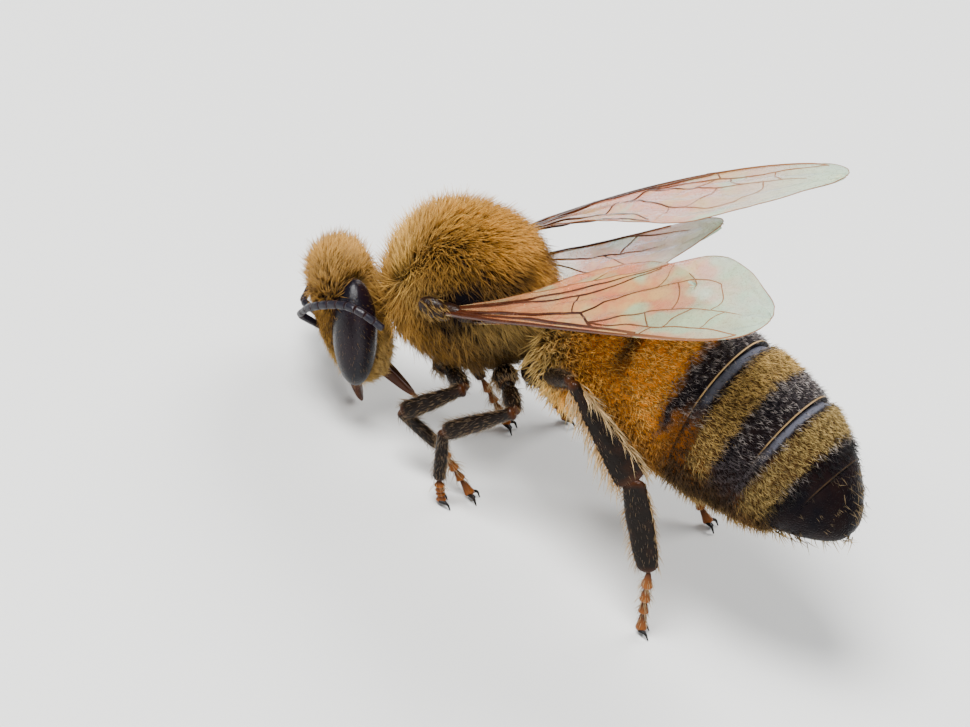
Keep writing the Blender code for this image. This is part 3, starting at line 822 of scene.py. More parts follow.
def place_markings(tree):
    """The markings in a material, as colours of shell and hair."""
    wobble = (grain(tree, WOBBLE_WAVES, 3.0) - 0.5) * WOBBLE
    given = {"Ring": read(tree, "ring"), "Around": read(tree, "around"), "Wobble": wobble}
    made = add_node(tree, "ShaderNodeGroup", given, node_tree=markings)
    return Wire(made.outputs["Shell"]), Wire(made.outputs["Hair"])


print("nodes in the markings:", len(markings.nodes))

# %% [markdown]
# The shell itself is glossy chitin. Fine pits, where hairs root, break the shine, and a finer grain under
# them keeps the highlight from looking like plastic. Both are bump, since they are far too small to model.

# %% Skin material
PITS_PER_METRE = 16000.0
SKIN_SHARP_ANGLE = math.radians(35)


def shell_bump(tree, depth):
    """Pits and grain of chitin."""
    return bump(cells(tree, PITS_PER_METRE).rise(0.1, 0.5) + grain(tree, 9000.0, 3.0) * 0.8, depth)


skin_material, tree, shader = open_material("bee shell", BROWN, 0.34, 0.03)
shell_colour, _ = place_markings(tree)
cloudy = ((grain(tree, 1500.0, 4.0) - 0.35) * 0.5).held()
paint(shader, blend(cloudy, shell_colour, BROWN), 0.26 + grain(tree, 5000.0) * 0.2, shell_bump(tree, 0.012))
skin.data.materials.clear()
skin.data.materials.append(skin_material)
skin.data.shade_smooth()
skin.data.set_sharp_from_angle(angle=SKIN_SHARP_ANGLE)
settle(skin, "banded_fur", "head", "neck", "thorax", "petiole", *(f"abdomen_{ring}" for ring in range(1, 7)))

# %% [markdown]
# ## Eyes
#
# A worker's compound eyes are long ovals down the sides of the head, almost black, with a soft blue shine.
# Each is a loft in the head's own directions, so it leans and tilts with it. Thousands of facets cover it.
# They are too small to see one by one, so they are bump.

# %% Eyes
HANDS = (("left", 1), ("right", -1))
EYE_LENGTH, EYE_BREADTH, EYE_BULGE = 2.5, 1.06, 0.55
EYE_PLACE = (1.43, 0.08, 0.08)
EYE_LEAN, EYE_TILT = math.radians(5.0), math.radians(16.0)
EYE_INSET = 0.02  # for the hairs that stand on it
FACETS_PER_METRE = 34000.0


def eye_frame(hand):
    """Middle and directions of an eye: out of the head, back, and up along it."""
    axes = head_axes @ Matrix.Rotation(-EYE_LEAN * hand, 3, "Y") @ Matrix.Rotation(-EYE_TILT, 3, "X")
    return in_head(EYE_PLACE[0] * hand, EYE_PLACE[1], EYE_PLACE[2]), axes


eye_material, tree, shader = open_material("compound eye", (0.004, 0.004, 0.007), 0.2, 0.2)
# Violet patches in the near-black are partly the eye's own tint and partly painted sheen.
violet_cloud_and_sheen = grain(tree, 900.0, 3.0).rise(0.35, 0.75)
paint(shader, blend(violet_cloud_and_sheen, (0.002, 0.002, 0.005), (0.009, 0.004, 0.006)), 0.14 + grain(tree, 3000.0) * 0.14,
      bump(cells(tree, FACETS_PER_METRE), 0.006))

eye_grounds = {}
for side, hand in HANDS:
    middle, axes = eye_frame(hand)
    rings = []
    for reach, size in ball_steps(40):
        bulge, breadth = (EYE_BULGE - EYE_INSET) * size, (EYE_BREADTH / 2 - EYE_INSET) * size
        oval = ring_of(Vector((0, 0, reach * EYE_LENGTH / 2)), X, Y, bulge, breadth, 44)
        rings.append([middle + axes @ point for point in oval])
    eye = loft(f"compound_eye_{side}", rings)
    eye_grounds[side] = eye.data.copy()
    finished(eye, eye_material, "eye", f"eye_{side}")

# %% [markdown]
# Between the compound eyes, on the crown, sit three simple eyes, each a clear bead.

# %% Simple eyes
OCELLUS_RADIUS = 0.13
OCELLI = ((0.0, -0.5, 1.36), (0.27, -0.2, 1.47), (-0.27, -0.2, 1.47))
beads = []
for number, spot in enumerate(OCELLI):
    rings = []
    for reach, size in ball_steps(10):
        centre, radius = in_head(*spot) + head_nape * (reach * OCELLUS_RADIUS), size * OCELLUS_RADIUS
        rings.append(ring_of(centre, head_left, head_crown, radius, radius, 16))
    beads.append(loft(f"bead_{number}", rings))
finished(joined("simple_eyes", beads), eye_material, "eye")

# %% [markdown]
# ## The coat
#
# A bee wears tens of thousands of hairs. Particle hair and hair curves don't leave Blender, so each hair here
# is a thin three-sided spike. Modelling them one by one in Python would be slow and hard to steer. Geometry
# Nodes do it well: they scatter points over a ground, stand a small tuft on each and turn it to the lie of
# the coat. The ground carries that lie, with the length and the cover, as numbers on its points, so that
# each region can be combed on its own.
#
# First comes one strand: rings of three points that close in on a tip.

# %% Strands
STRAND_SIDES = 3
SUNK = 0.04  # of a strand's length that stands below the ground


def strand(points, faces, spots, root, lean, bend, width, rows, cell):
    """Adds one tapering spike to the lists. `bend` is how far its tip curls over, and `cell` is its number and
    its width in the tuft's patch of the unwrap."""
    base = len(points)
    across, up = directions(lean, Vector((1, 0.2, 0)))
    for row in range(rows):
        t = row / rows
        centre = root + lean * (t - SUNK) + bend * t**2
        size = width / 2 * (1 - t) ** 0.5
        for side in range(STRAND_SIDES):
            angle = 2 * math.pi * side / STRAND_SIDES
            points.append(centre + across * (size * math.cos(angle)) + up * (size * math.sin(angle)))
            spots.append(((cell[0] + side / STRAND_SIDES) * cell[1], t))
    points.append(root + lean + bend)
    spots.append(((cell[0] + 0.5) * cell[1], 1))
    faces.append((base, base + 2, base + 1))
    turns = [(side, (side + 1) % STRAND_SIDES) for side in range(STRAND_SIDES)]
    last = base + (rows - 1) * STRAND_SIDES
    for low in range(base, last, STRAND_SIDES):
        high = low + STRAND_SIDES
        faces += [(low + side, low + after, high + after, high + side) for side, after in turns]
    faces += [(last + side, last + after, last + STRAND_SIDES) for side, after in turns]


print("triangles in a strand of two rows:", 1 + 2 * STRAND_SIDES + STRAND_SIDES)

# %% [markdown]
# A tuft is a handful of strands from one root. Chance spreads, bends and shortens them. Its seed is the name
# of the kind, so that every run makes the same tufts. A few shapes of each kind are enough, because every
# copy is turned and scaled.

# %% Tufts
TUFTS = {
    # shapes, strands in each, their width, bend, fan and crimp, and rows in a strand
    "fuzz": (6, 5, 0.03, 0.16, 0.34, 0.14, 3),
    "plume": (6, 5, 0.026, 0.3, 0.3, 0.26, 3),
    "nap": (8, 4, 0.075, 0.14, 0.7, 0.14, 2),
    "down": (6, 5, 0.045, 0.15, 0.5, 0.15, 2),
    "bristle": (6, 1, 0.05, 0.24, 0.1, 0.06, 2),
}


def tufts(name, shapes, strands, width, bend, fan, crimp, rows):
    """A collection with a few tufts, each of several strands that fan out a little from one root."""
    made = bpy.data.collections.new(name)
    chance = random.Random(name)

    def anywhere():
        return Vector((chance.uniform(-1, 1), chance.uniform(-1, 1), 0))

    for shape in range(shapes):
        points, faces, spots = [], [], []
        for number in range(strands):
            root = anywhere() * (fan * 0.6)
            lean = (UP + anywhere() * fan * 0.8).normalized()
            curl = Vector((bend, 0, -bend * 0.4)) * chance.uniform(0.6, 1.4)
            curl += anywhere() * crimp
            lean *= chance.uniform(0.75, 1.1)
            strand(points, faces, spots, root, lean, curl, width, rows, (number, 1 / strands))
        mesh = mesh_of(f"{name}_{shape}", points, faces)
        turn_outwards(mesh)
        carry(mesh, spot=[(*spot, 0) for spot in spots], tip=[spot[1] for spot in spots])
        made.objects.link(bpy.data.objects.new(mesh.name, mesh))
    return made


TUFT_KINDS = {name: tufts(name, *sizes) for name, sizes in TUFTS.items()}
print("kinds of tuft:", list(TUFT_KINDS))

# %% [markdown]
# A node tree reads the numbers on a ground by their names, point by point. These helpers read and store such
# numbers inside a tree, add and turn directions, and run a finished tree on a piece.

# %% Helpers for geometry nodes
VECTOR = "FLOAT_VECTOR"


def named(tree, name, kind="FLOAT"):
    """A field that reads what the mesh carries under this name."""
    return wire_from(tree, "GeometryNodeInputNamedAttribute", "Attribute", {"Name": name}, data_type=kind)


def storing(geometry, name, value, kind="FLOAT", domain="POINT"):
    """Stores a field on the geometry under this name."""
    given = {"Geometry": geometry, "Name": name, "Value": value}
    settings = {"data_type": kind, "domain": domain}
    return wire_from(geometry.tree, "GeometryNodeStoreNamedAttribute", "Geometry", given, **settings)


def forgetting(geometry, *names):
    """Drops stored numbers that are no longer needed."""
    for name in names:
        given = {"Geometry": geometry, "Name": name}
        geometry = wire_from(geometry.tree, "GeometryNodeRemoveAttribute", "Geometry", given)
    return geometry


def added(first, second):
    """The sum of two vectors."""
    return wire_from(first.tree, "ShaderNodeVectorMath", "Vector", {0: first, 1: second}, operation="ADD")


def scaled(vector, scale):
    """A vector times a number."""
    given = {0: vector, "Scale": scale}
    return wire_from(vector.tree, "ShaderNodeVectorMath", "Vector", given, operation="SCALE")


def chances(tree, seed, low, high, kind="FLOAT"):
    """A random number, or vector, for each point."""
    made = add_node(tree, "FunctionNodeRandomValue", {"Seed": seed}, data_type=kind)
    least, most = [socket for socket in made.inputs if socket.enabled][:2]
    feed(least, low)
    feed(most, high)
    return Wire(next(socket for socket in made.outputs if socket.enabled))


def turned_to(z_axis, other_axis, other):
    """A rotation whose Z lies along one field and whose other axis, X or Y, lies nearest to a second."""
    given = {"Primary Axis": z_axis, "Secondary Axis": other}
    settings = {"primary_axis": "Z", "secondary_axis": other_axis}
    return wire_from(z_axis.tree, "FunctionNodeAxesToRotation", "Rotation", given, **settings)


def with_material(geometry, material):
    """The geometry with this material on all its faces."""
    given = {"Geometry": geometry, "Material": material}
    return wire_from(geometry.tree, "GeometryNodeSetMaterial", "Geometry", given)


def run_nodes(piece, tree, given):
    """Runs a tree on a piece with these values on its named inputs, and keeps the result as a plain mesh."""
    modifier = piece.modifiers.new(tree.name, "NODES")
    modifier.node_group = tree
    keys = {item.name: item.identifier for item in tree.interface.items_tree if item.in_out == "INPUT"}
    for name, value in given.items():
        modifier[keys[name]] = value
    return made_plain(piece)


print("helpers for geometry nodes ready")

# %% [markdown]
# The coat's tree has named inputs for its sizes. It scatters points over the ground, stands a tuft on each,
# and turns and sizes it. At the end the instances are realized, because instances don't leave Blender either.
# Each tuft then gets its small patch of the unwrap, at the place where it roots.

# %% The coat's node tree
TUFT_PATCH = 0.003  # of the unwrap, across
LEAST_GROWTH, MORE_GROWTH = 0.65, 0.5  # a tuft's share of the full length, and what chance adds
SHADE_SEED, STRAY_SEED = 3, 5


def coat_tree():
    """Grows tufts on a ground, along its `lie`, as long as its `long` says and as dense as its `cover` does."""
    given = {"Ground": "Geometry", "Tufts": "Collection", "Per square mm": "Float", "Length": "Float",
             "Stray": "Float", "Seed": "Int", "Material": "Material"}
    tree, given, made = new_group("coat", "GeometryNodeTree", given, {"Coat": "Geometry"})
    density = given["Per square mm"] * named(tree, "cover")
    spread = {"Mesh": given["Ground"], "Density": density, "Seed": given["Seed"]}
    scatter = add_node(tree, "GeometryNodeDistributePointsOnFaces", spread)
    points, normal = Wire(scatter.outputs["Points"]), Wire(scatter.outputs["Normal"])
    points = storing(points, "root", named(tree, "OFBake", VECTOR), VECTOR)
    points = storing(points, "shade", chances(tree, SHADE_SEED, 0.0, 1.0))
    lifted = scaled(normal, named(tree, "lift"))
    strayed = scaled(chances(tree, STRAY_SEED, (-1, -1, -1), (1, 1, 1), VECTOR), given["Stray"])
    lean = added(added(named(tree, "lie", VECTOR), lifted), strayed)
    choice = {"Collection": given["Tufts"], "Separate Children": True, "Reset Children": True}
    planting = {
        "Points": points, "Pick Instance": True,
        "Instance": wire_from(tree, "GeometryNodeCollectionInfo", "Instances", choice),
        "Rotation": turned_to(lean, "X", scaled(normal, -1.0)),
        "Scale": given["Length"] * named(tree, "long") * (LEAST_GROWTH + named(tree, "shade") * MORE_GROWTH),
    }
    planted = wire_from(tree, "GeometryNodeInstanceOnPoints", "Instances", planting)
    planted = forgetting(planted, "OFBake", "lie", "lift", "long", "cover")
    real = wire_from(tree, "GeometryNodeRealizeInstances", "Geometry", {"Geometry": planted})
    patch = added(named(tree, "root", VECTOR), scaled(named(tree, "spot", VECTOR), TUFT_PATCH))
    coat = forgetting(storing(real, "OFBake", patch, "FLOAT2", "CORNER"), "root", "spot")
    feed(made["Coat"], with_material(coat, given["Material"]))
    return tree


coat_nodes = coat_tree()


def grow(name, ground, kind, per_square_mm, length, stray, seed, material, slot):
    """Grows a coat piece on a ground mesh and settles it."""
    given = {"Tufts": TUFT_KINDS[kind], "Per square mm": per_square_mm, "Length": length, "Stray": stray,
             "Seed": seed, "Material": material}
    settle(run_nodes(show(name, ground), coat_nodes, given), slot)


print("nodes in the coat's tree:", len(coat_nodes.nodes))

# %% [markdown]
# The hair's material takes its colour from the markings at its root. Along each strand it is much darker at
# the root, which is painted shade of the coat on itself, and paler at the tip, partly its own colour and partly
# a painted highlight. No two hairs are the same, so the colour also follows the chance number of each tuft,
# and the darkening that the ground carries. Among the dark hairs of the bands a few are grey, partly real grey
# hairs and partly painted sheen.

# %% Hair material
hair_material, tree, shader = open_material("bee hair", GOLD, 0.55, 0.22)
_, root_colour = place_markings(tree)
tip, shade, around, ring = (read(tree, name) for name in ("tip", "shade", "around", "ring"))
dark = wire_from(tree, "ShaderNodeRGBToBW", 0, {0: root_colour}).fall(0.16, 0.28)
# Paler tips: partly the hair's own colour, partly a painted highlight.
bleached_and_lit = blend(tip.rise(0.5, 1.0) * (0.25 - dark * 0.2), root_colour, STRAW)
banded = ring.rise(2.5, 2.6) * ring.fall(4.6, 4.8) * around.fall(0.36, 0.46)
# A few grey hairs among the dark bands: partly real grey hairs, partly painted sheen.
salted_with_sheen = blend(shade.rise(0.62, 0.7) * (dark * banded * 0.7), bleached_and_lit, ASH)
# The root end is darkened strongly as painted shade of the coat on itself.
strand_colour = blend(tip.rise(0.0, 0.7), toned(root_colour, 0.2, 1.08), salted_with_sheen)
# Each tuft's chance number sets its brightness and, in the coat's tree, its length: random tone, and painted
# shade on the short under-layer.
varied = toned(strand_colour, 0.45 + shade * 0.8)
# The ground's darkening number is painted shade in hollows and under the body, and a darker tone elsewhere.
paint(shader, toned(varied, 1.0 - read(tree, "dusk") * 0.75), 0.38 + shade * 0.25)
print("nodes in the hair's material:", len(tree.nodes))

# %% [markdown]
# ## Combing and growing
#
# Each ground is the loft of its body part. Combing it means storing, for each of its points, which way the
# hair lies, how long and how upright it is, how densely it stands and how much darker its hair is painted:
# painted shade in hollows and under the body, and a darker tone elsewhere. Painting this by hand would tie it
# to one mesh, so it is reckoned from where a point lies and which way it faces.

# %% Combs
def normals_of(mesh):
    """A mesh's point normals as an array."""
    return read_back(mesh.vertices, "normal", 3)


def combed(ground, lie, cover, long, lift, dusk):
    """Stores the comb on a ground. The lie is first laid flat on the surface."""
    normals = normals_of(ground)
    lie = lie - normals * (lie * normals).sum(axis=1, keepdims=True)
    lie = lie / np.maximum(np.linalg.norm(lie, axis=1, keepdims=True), 0.05)
    carry(ground, lie=lie, cover=cover, long=long, lift=lift, dusk=dusk)


def part_of(ground, share):
    """A copy of a ground that keeps only this share of its cover."""
    made = ground.copy()
    cover = made.attributes["cover"].data
    cover.foreach_set("value", (read_back(cover, "value") * share).astype(np.float32))
    return made


def blobs(points, radius, *places):
    """1 at these places, taken on both sides of the body, and fading out over this radius."""
    found = 0
    for hand in (1, -1):
        for x, y, z in places:
            away = points - np.array(at(x, hand * y, z))
            found = found + np.exp(-(away**2).sum(axis=1) / (2 * radius**2))
    return found


def mixed(*parts):
    """Directions added up, each with its weights."""
    return sum(np.outer(weights, direction) for weights, direction in parts)


print("combs ready")

# %% [markdown]
# The thorax has the longest hair. It stands out like a brush on top, leans forwards over the neck and hangs
# down below the wing roots. Round the roots themselves there is a hollow with little hair. The hair there is
# darkened as painted shade, and so it is in the seam in front of the hindmost hump, in a hollow low at the
# rear and under the thorax. The shoulders of the back get a darker tone.

# %% Combing the thorax
# The wing roots, the rear hollow and the seam are places where the hair is darkened as painted shade.
WING_ROOT = (0.13, 1.75, 0.3)
REAR_HOLLOW = (1.6, 1.05, -0.4)
SCUTUM_SIDE = (-0.25, 1.25, 1.3)  # the darker shoulders of the back
SEAM = ((0.55, 1.5, 0.75), (0.85, 1.3, 1.0), (1.1, 1.0, 1.2), (1.2, 0.5, 1.35))  # in front of the hindmost hump

thorax_normals = normals_of(thorax.data)
ahead, aside, above = -thorax_normals[:, 0], np.abs(thorax_normals[:, 1]), thorax_normals[:, 2]
root_gap, hollow = blobs(thorax_points, 0.42, WING_ROOT), blobs(thorax_points, 0.6, REAR_HOLLOW)
seam = blobs(thorax_points, 0.25, *SEAM)
scutum = np.clip(blobs(thorax_points, 0.62, SCUTUM_SIDE), 0, 1)
lower, under = smooth(-above, -0.35, 0.35), smooth(-above, 0.25, 0.75)
lie = mixed(
    (0.5 + 0.5 * smooth(-ahead, 0.0, 0.8), (1, 0, 0)), (smooth(ahead, 0.3, 0.9), (-1.0, 0, 0.8)),
    (1.1 * lower * aside, (0.1, 0, -1)), (0.5 * aside * (1 - lower), (0.3, 0, -0.6)),
)
cover = 1 - 0.8 * root_gap - 0.6 * np.clip(seam, 0, 1) - 0.42 * lower * aside - 0.2 * scutum - 0.3 * hollow
# Painted shade darkens the hair at the wing roots, in the seam, in the rear hollow and underneath; the
# shoulders get a darker tone.
shaded = 0.9 * root_gap + 0.9 * seam + 0.55 * scutum + 0.85 * hollow + 0.8 * under * smooth(-ahead, -0.6, 0.2)
combed(
    thorax.data, lie, cover=np.clip(cover, 0, 1), dusk=np.clip(shaded, 0, 1),
    long=(0.85 + 0.3 * smooth(ahead, 0.2, 0.8) + 0.25 * lower * aside) * (1 - 0.5 * np.clip(root_gap, 0, 1)),
    lift=1.5 - 0.95 * lower * aside - 0.4 * aside,
)
print("mean cover of the thorax:", round(float(np.clip(cover, 0, 1).mean()), 2))

# %% [markdown]
# The coat of the thorax is grown in quarters, so that no piece gets too heavy. Its upper half is fuzz, its
# lower half longer plumes.

# %% Thorax coat
FUZZ = (215.0, 0.62, 0.32)  # tufts in a square millimetre, their length, and how far they stray from the lie
QUARTERS = (
    # name, side, height, tuft
    ("upper_left", -1, 1, "fuzz"), ("lower_left", -1, -1, "plume"),
    ("upper_right", 1, 1, "fuzz"), ("lower_right", 1, -1, "plume"),
)
for seed, (quarter, side, height, kind) in enumerate(QUARTERS):
    inside = (np.sign(thorax_normals[:, 1] + 1e-6) == side) & (np.sign(above + 1e-6) == height)
    ground = part_of(thorax.data, inside)
    grow(f"thorax_coat_{quarter}", ground, kind, *FUZZ, seed, hair_material, "golden_fur")

# %% [markdown]
# On the head the hair is short. It stands up on the crown, lies towards the mouth down the face, and leaves
# the eyes free. Where a ground point falls inside an eye, its cover is nothing.

# %% Head coat
DOWN, DOWN_SEED = (210.0, 0.4, 0.35), 11
face, crown = smooth(-head_reach[:, 1], 0.05, 0.6), smooth(head_reach[:, 2], 0.3, 0.8)
bare = np.zeros(len(head_points))
for _, hand in HANDS:
    inside = fractions_of(head_points, *eye_frame(hand), (EYE_BULGE, EYE_BREADTH / 2, EYE_LENGTH / 2))
    bare = np.maximum(bare, 1 - smooth(np.linalg.norm(inside, axis=1), 1.0, 1.08))
mouth = np.exp(-((head_points - np.array(in_head(0, -0.6, -0.85))) ** 2).sum(axis=1) / (2 * 0.36**2))
# The sides of the crown get a darker tone. The nape half below the crown is darkened partly for its darker tone
# and partly as painted shade where the head tucks under the thorax.
dark_crown = 0.55 * crown * smooth(np.abs(head_reach[:, 0]), 0.1, 0.5)
lie = mixed(
    (1 - crown, -head_crown), (crown, head_crown), (0.5 * face, -head_nape), (0.8 * (1 - face), head_nape),
)
lie += np.outer(0.5 * np.sign(head_reach[:, 0]) * (1 - crown), head_left)
combed(
    head.data, lie, cover=(1 - bare) * (1 - 0.9 * np.clip(1.5 * mouth, 0, 1)),
    long=0.6 + 0.6 * crown + 0.15 * (1 - face), lift=0.6 + 1.1 * crown + 0.3 * (1 - face),
    dusk=np.clip(dark_crown + 0.3 * (1 - face) * (1 - crown), 0, 1),
)
grow("head_coat", head.data.copy(), "down", *DOWN, DOWN_SEED, hair_material, "brown_fur")

# %% [markdown]
# A bee even has hairs on its eyes, short, straight and far apart between the facets. They grow on the copies
# of the eyes' lofts that the cell of the eyes kept.

# %% Hairs on the eyes
EYE_HAIRS, EYE_HAIR_SEED = (75.0, 0.11, 0.3), 15
EYE_HAIR_RING = -1.75  # they are as pale as the hair low on the head
for side, ground in eye_grounds.items():
    carry(ground, ring=EYE_HAIR_RING, around=0.5)
    down = np.tile(-np.array(head_crown), (len(ground.vertices), 1))
    combed(ground, down, cover=1.0, long=1.0, lift=3.0, dusk=0.8)
    grow(f"eye_hairs_{side}", ground, "bristle", *EYE_HAIRS, EYE_HAIR_SEED, hair_material, "brown_fur")

# %% [markdown]
# The abdomen's hair is a short nap that lies back towards the tip. It is dense on the pale bands, thin on the
# black ones and absent from the slate strip where one plate slides out from under another. Long pale hair
# grows only at the very front and along the underside, and the flanks of the black tip are nearly bare.

# %% Combing the abdomen
COVER_STOPS = (
    (0, 1), (1.6, 0.9), (1.75, 0.8), (1.99, 0.8), (2.0, 0.5), (2.12, 0.9), (2.55, 0.95), (2.66, 0.9),
    (2.93, 0.8), (2.96, 0.02), (3.1, 0.02), (3.19, 1.15), (3.55, 1.15), (3.66, 0.85), (3.93, 0.7), (3.96, 0.02),
    (4.1, 0.02), (4.19, 1.15), (4.58, 1.15), (4.7, 0.5), (4.85, 0.16), (5.0, 0.09), (5.9, 0.09),
)
LENGTH_STOPS = (
    (0, 2.6), (0.7, 2.1), (1.2, 1.35), (2, 1.05), (2.55, 1.0), (2.68, 0.75), (3, 0.75), (3.15, 0.95),
    (3.55, 0.95), (3.68, 0.75), (4, 0.75), (4.15, 0.95), (4.7, 0.9), (5.2, 1.3), (5.9, 1.3),
)
ring, around = np.array(ring_values), np.array(around_values)
belly, low_flank = smooth(around, 0.72, 0.9), smooth(around, 0.45, 0.7)
below_strips = smooth(around, 0.25, 0.33)
bare_tip = smooth(ring, 4.8, 4.95) * smooth(around, 0.1, 0.22) * (1 - smooth(around, 0.62, 0.75))
thinned = (1 - 0.4 * belly) * (1 - 0.3 * low_flank * (ring > 2.8)) * (1 - 0.65 * bare_tip)
backward = np.array([line[min(int(value), last_plate)][1] for value in ring])
cover = np.maximum(np.interp(ring, *zip(*COVER_STOPS)), 1.05 * below_strips * (ring < 4.8)) * thinned
combed(
    abdomen.data, backward + np.outer(0.45 * low_flank * (1 - belly), -UP), cover=cover,
    long=np.interp(ring, *zip(*LENGTH_STOPS)) * (1 + 0.5 * low_flank) * (1 - 0.45 * bare_tip),
    lift=0.6 + 0.55 * low_flank, dusk=0.0,
)
print("fullest and thinnest cover:", round(float(cover.max()), 2), round(float(cover.min()), 3))

# %% [markdown]
# The nap is grown in four pieces, front and rear on each side, so that none gets too heavy.

# %% Abdomen coat
NAP, FIRST_NAP_SEED = (248.0, 0.22, 0.28), 20
REAR_FROM = 2.5  # in `ring`
MIDDLE = -0.3  # the abdomen bends to the left
on_left = points_of(abdomen.data)[:, 1] < ORIGIN.y + MIDDLE
seed = FIRST_NAP_SEED
for side, on_side in (("left", on_left), ("right", ~on_left)):
    for place, in_place in (("front", ring < REAR_FROM), ("rear", ring >= REAR_FROM)):
        ground = part_of(abdomen.data, on_side & in_place)
        grow(f"abdomen_coat_{place}_{side}", ground, "nap", *NAP, seed, hair_material, "banded_fur")
        seed += 1

# %% [markdown]
# ## Links in a row
#
# Feelers and feet are rows of small links, each a little like the one before. One node tree sets such a row:
# it stands a link on every point of a path and turns and sizes it by what the path carries. Building the row
# this way keeps the links alike, and a longer feeler is only a longer path.

# %% The tree for rows of links
def links_tree():
    """Stands a link on each point, its Z along `along`, its Y towards `face` and as large as `size` says."""
    given = {"Path": "Geometry", "Link": "Object", "Material": "Material"}
    tree, given, made = new_group("links", "GeometryNodeTree", given, {"Links": "Geometry"})
    planting = {
        "Points": given["Path"], "Scale": named(tree, "size", VECTOR),
        "Instance": wire_from(tree, "GeometryNodeObjectInfo", "Geometry", {"Object": given["Link"]}),
        "Rotation": turned_to(named(tree, "along", VECTOR), "Y", named(tree, "face", VECTOR)),
    }
    planted = wire_from(tree, "GeometryNodeInstanceOnPoints", "Instances", planting)
    planted = forgetting(planted, "along", "face", "size")
    real = wire_from(tree, "GeometryNodeRealizeInstances", "Geometry", {"Geometry": planted})
    feed(made["Links"], with_material(real, given["Material"]))
    return tree


link_nodes = links_tree()


def row_of_links(name, link, joints, widths, thicknesses, face, material):
    """A row of links from joint to joint. Each link is a unit long and a unit wide before it is sized."""
    steps = [after - before for before, after in zip(joints, joints[1:])]
    path = mesh_of(name, joints[:-1])
    sizes = [(wide, thick, step.length) for wide, thick, step in zip(widths, thicknesses, steps)]
    carry(path, along=steps, face=[face] * len(steps), size=sizes)
    return run_nodes(show(name, path), link_nodes, {"Link": link, "Material": material})


def link_of(name, rows, sides=14):
    """A round link along Z from rows of height and radius. It is a helper, kept out of the scene."""
    made = loft(name, [ring_of(UP * z, X, Y, radius, radius, sides) for z, radius in rows])
    drop_unwrap(made.data)
    bpy.context.scene.collection.objects.unlink(made)
    return made


print("nodes in the tree for links:", len(link_nodes.nodes))

# %% [markdown]
# ## Chitin for limbs
#
# Legs, feelers and mouthparts share one effect: dark chitin that turns translucent brown where it is thin,
# at the joints and edges. It is one node group with its own inputs for the two colours. Each mesh says with
# the number `thin` where that is.

# %% Limb chitin
CLOUDS_PER_METRE = 2500.0
CHITINS = {
    # dark colour, thin colour, depth of the pits and shine
    "leg": ((0.004, 0.002, 0.001), (0.045, 0.013, 0.003), 0.006, 0.13),
    "foot": ((0.04, 0.01, 0.002), (0.21, 0.062, 0.008), 0.006, 0.18),
    "claw": ((0.006, 0.005, 0.005), (0.05, 0.015, 0.005), 0.002, 0.18),
    "feeler": ((0.006, 0.005, 0.01), (0.03, 0.012, 0.009), 0.004, 0.3),
    "mouth": ((0.05, 0.016, 0.006), (0.19, 0.066, 0.016), 0.006, 0.18),
    "face shield": ((0.01, 0.005, 0.003), (0.07, 0.022, 0.006), 0.01, 0.12),
    "root plate": ((0.012, 0.005, 0.0025), (0.05, 0.015, 0.004), 0.006, 0.18),
}


def chitin_group():
    """Colour and roughness of limb chitin."""
    given = {"Dark": "Color", "Thin colour": "Color", "Thin": "Float", "Fineness": "Float"}
    made = {"Colour": "Color", "Roughness": "Float"}
    tree, given, made = new_group("limb_chitin", "ShaderNodeTree", given, made)
    cloud = grain(tree, given["Fineness"], 4.0)
    share = (given["Thin"] + (cloud - 0.5) * 0.8).held()
    feed(made["Colour"], blend(share, given["Dark"], given["Thin colour"]))
    feed(made["Roughness"], 0.22 + cloud * 0.25)
    return tree


chitin_nodes = chitin_group()


def chitin_material(name, dark, thin_colour, pit_depth, shine):
    """Limb chitin with these two colours."""
    made, tree, shader = open_material(f"{name} chitin", dark, 0.3, shine)
    given = {"Dark": dark, "Thin colour": thin_colour, "Thin": read(tree, "thin"), "Fineness": CLOUDS_PER_METRE}
    group = add_node(tree, "ShaderNodeGroup", given, node_tree=chitin_nodes)
    paint(shader, Wire(group.outputs["Colour"]), Wire(group.outputs["Roughness"]), shell_bump(tree, pit_depth))
    return made


chitin = {name: chitin_material(name, *looks) for name, looks in CHITINS.items()}
print("kinds of chitin:", list(chitin))

# %% [markdown]
# Every piece of a leg, a shaft or a jaw is a limb piece: a flattened tube with domed ends between two joints,
# whose width and thickness follow a short list of rows.

# %% Limb pieces
DOME_SHARE, LEAST_DOME = 0.04, 0.3  # of a limb piece's length, and of its width at the very end
THIN_SHARE = 0.09


def limb(name, start, end, rows, face, sides=20, sag=0.0, steps=26):
    """A limb piece between two joints. Rows are a fraction of its length, a half width and a half thickness.

    Its ends are domes, and `thin` rises towards them."""
    across, up = directions((end - start).normalized(), face)
    fractions, widths, thicknesses = zip(*rows)
    rings, thin = [], []
    for step in range(steps):
        share = (1 - math.cos(math.pi * step / (steps - 1))) / 2
        to_end = min(share, 1 - share)
        dome = max(LEAST_DOME, math.sqrt(1 - (1 - min(1.0, to_end / DOME_SHARE)) ** 2))
        width, thickness = (float(np.interp(share, fractions, row)) * dome for row in (widths, thicknesses))
        centre = start.lerp(end, share) + up * (sag * 4 * share * (1 - share))
        rings.append(ring_of(centre, across, up, width, thickness, sides))
        thin += [max(0.0, 1 - to_end / THIN_SHARE)] * sides
    made = loft(name, rings)
    carry(made.data, thin=[*thin, 1.0, 1.0])
    return made


print("limb pieces ready")

# %% [markdown]
# ## Feelers
#
# A worker's feeler stands in a round socket. It has a straight shaft, the scape, then an elbow, a small ball
# and ten short links. The scape is a limb piece. The ball and the links are a row, set along a smooth curve
# in the head's own directions.

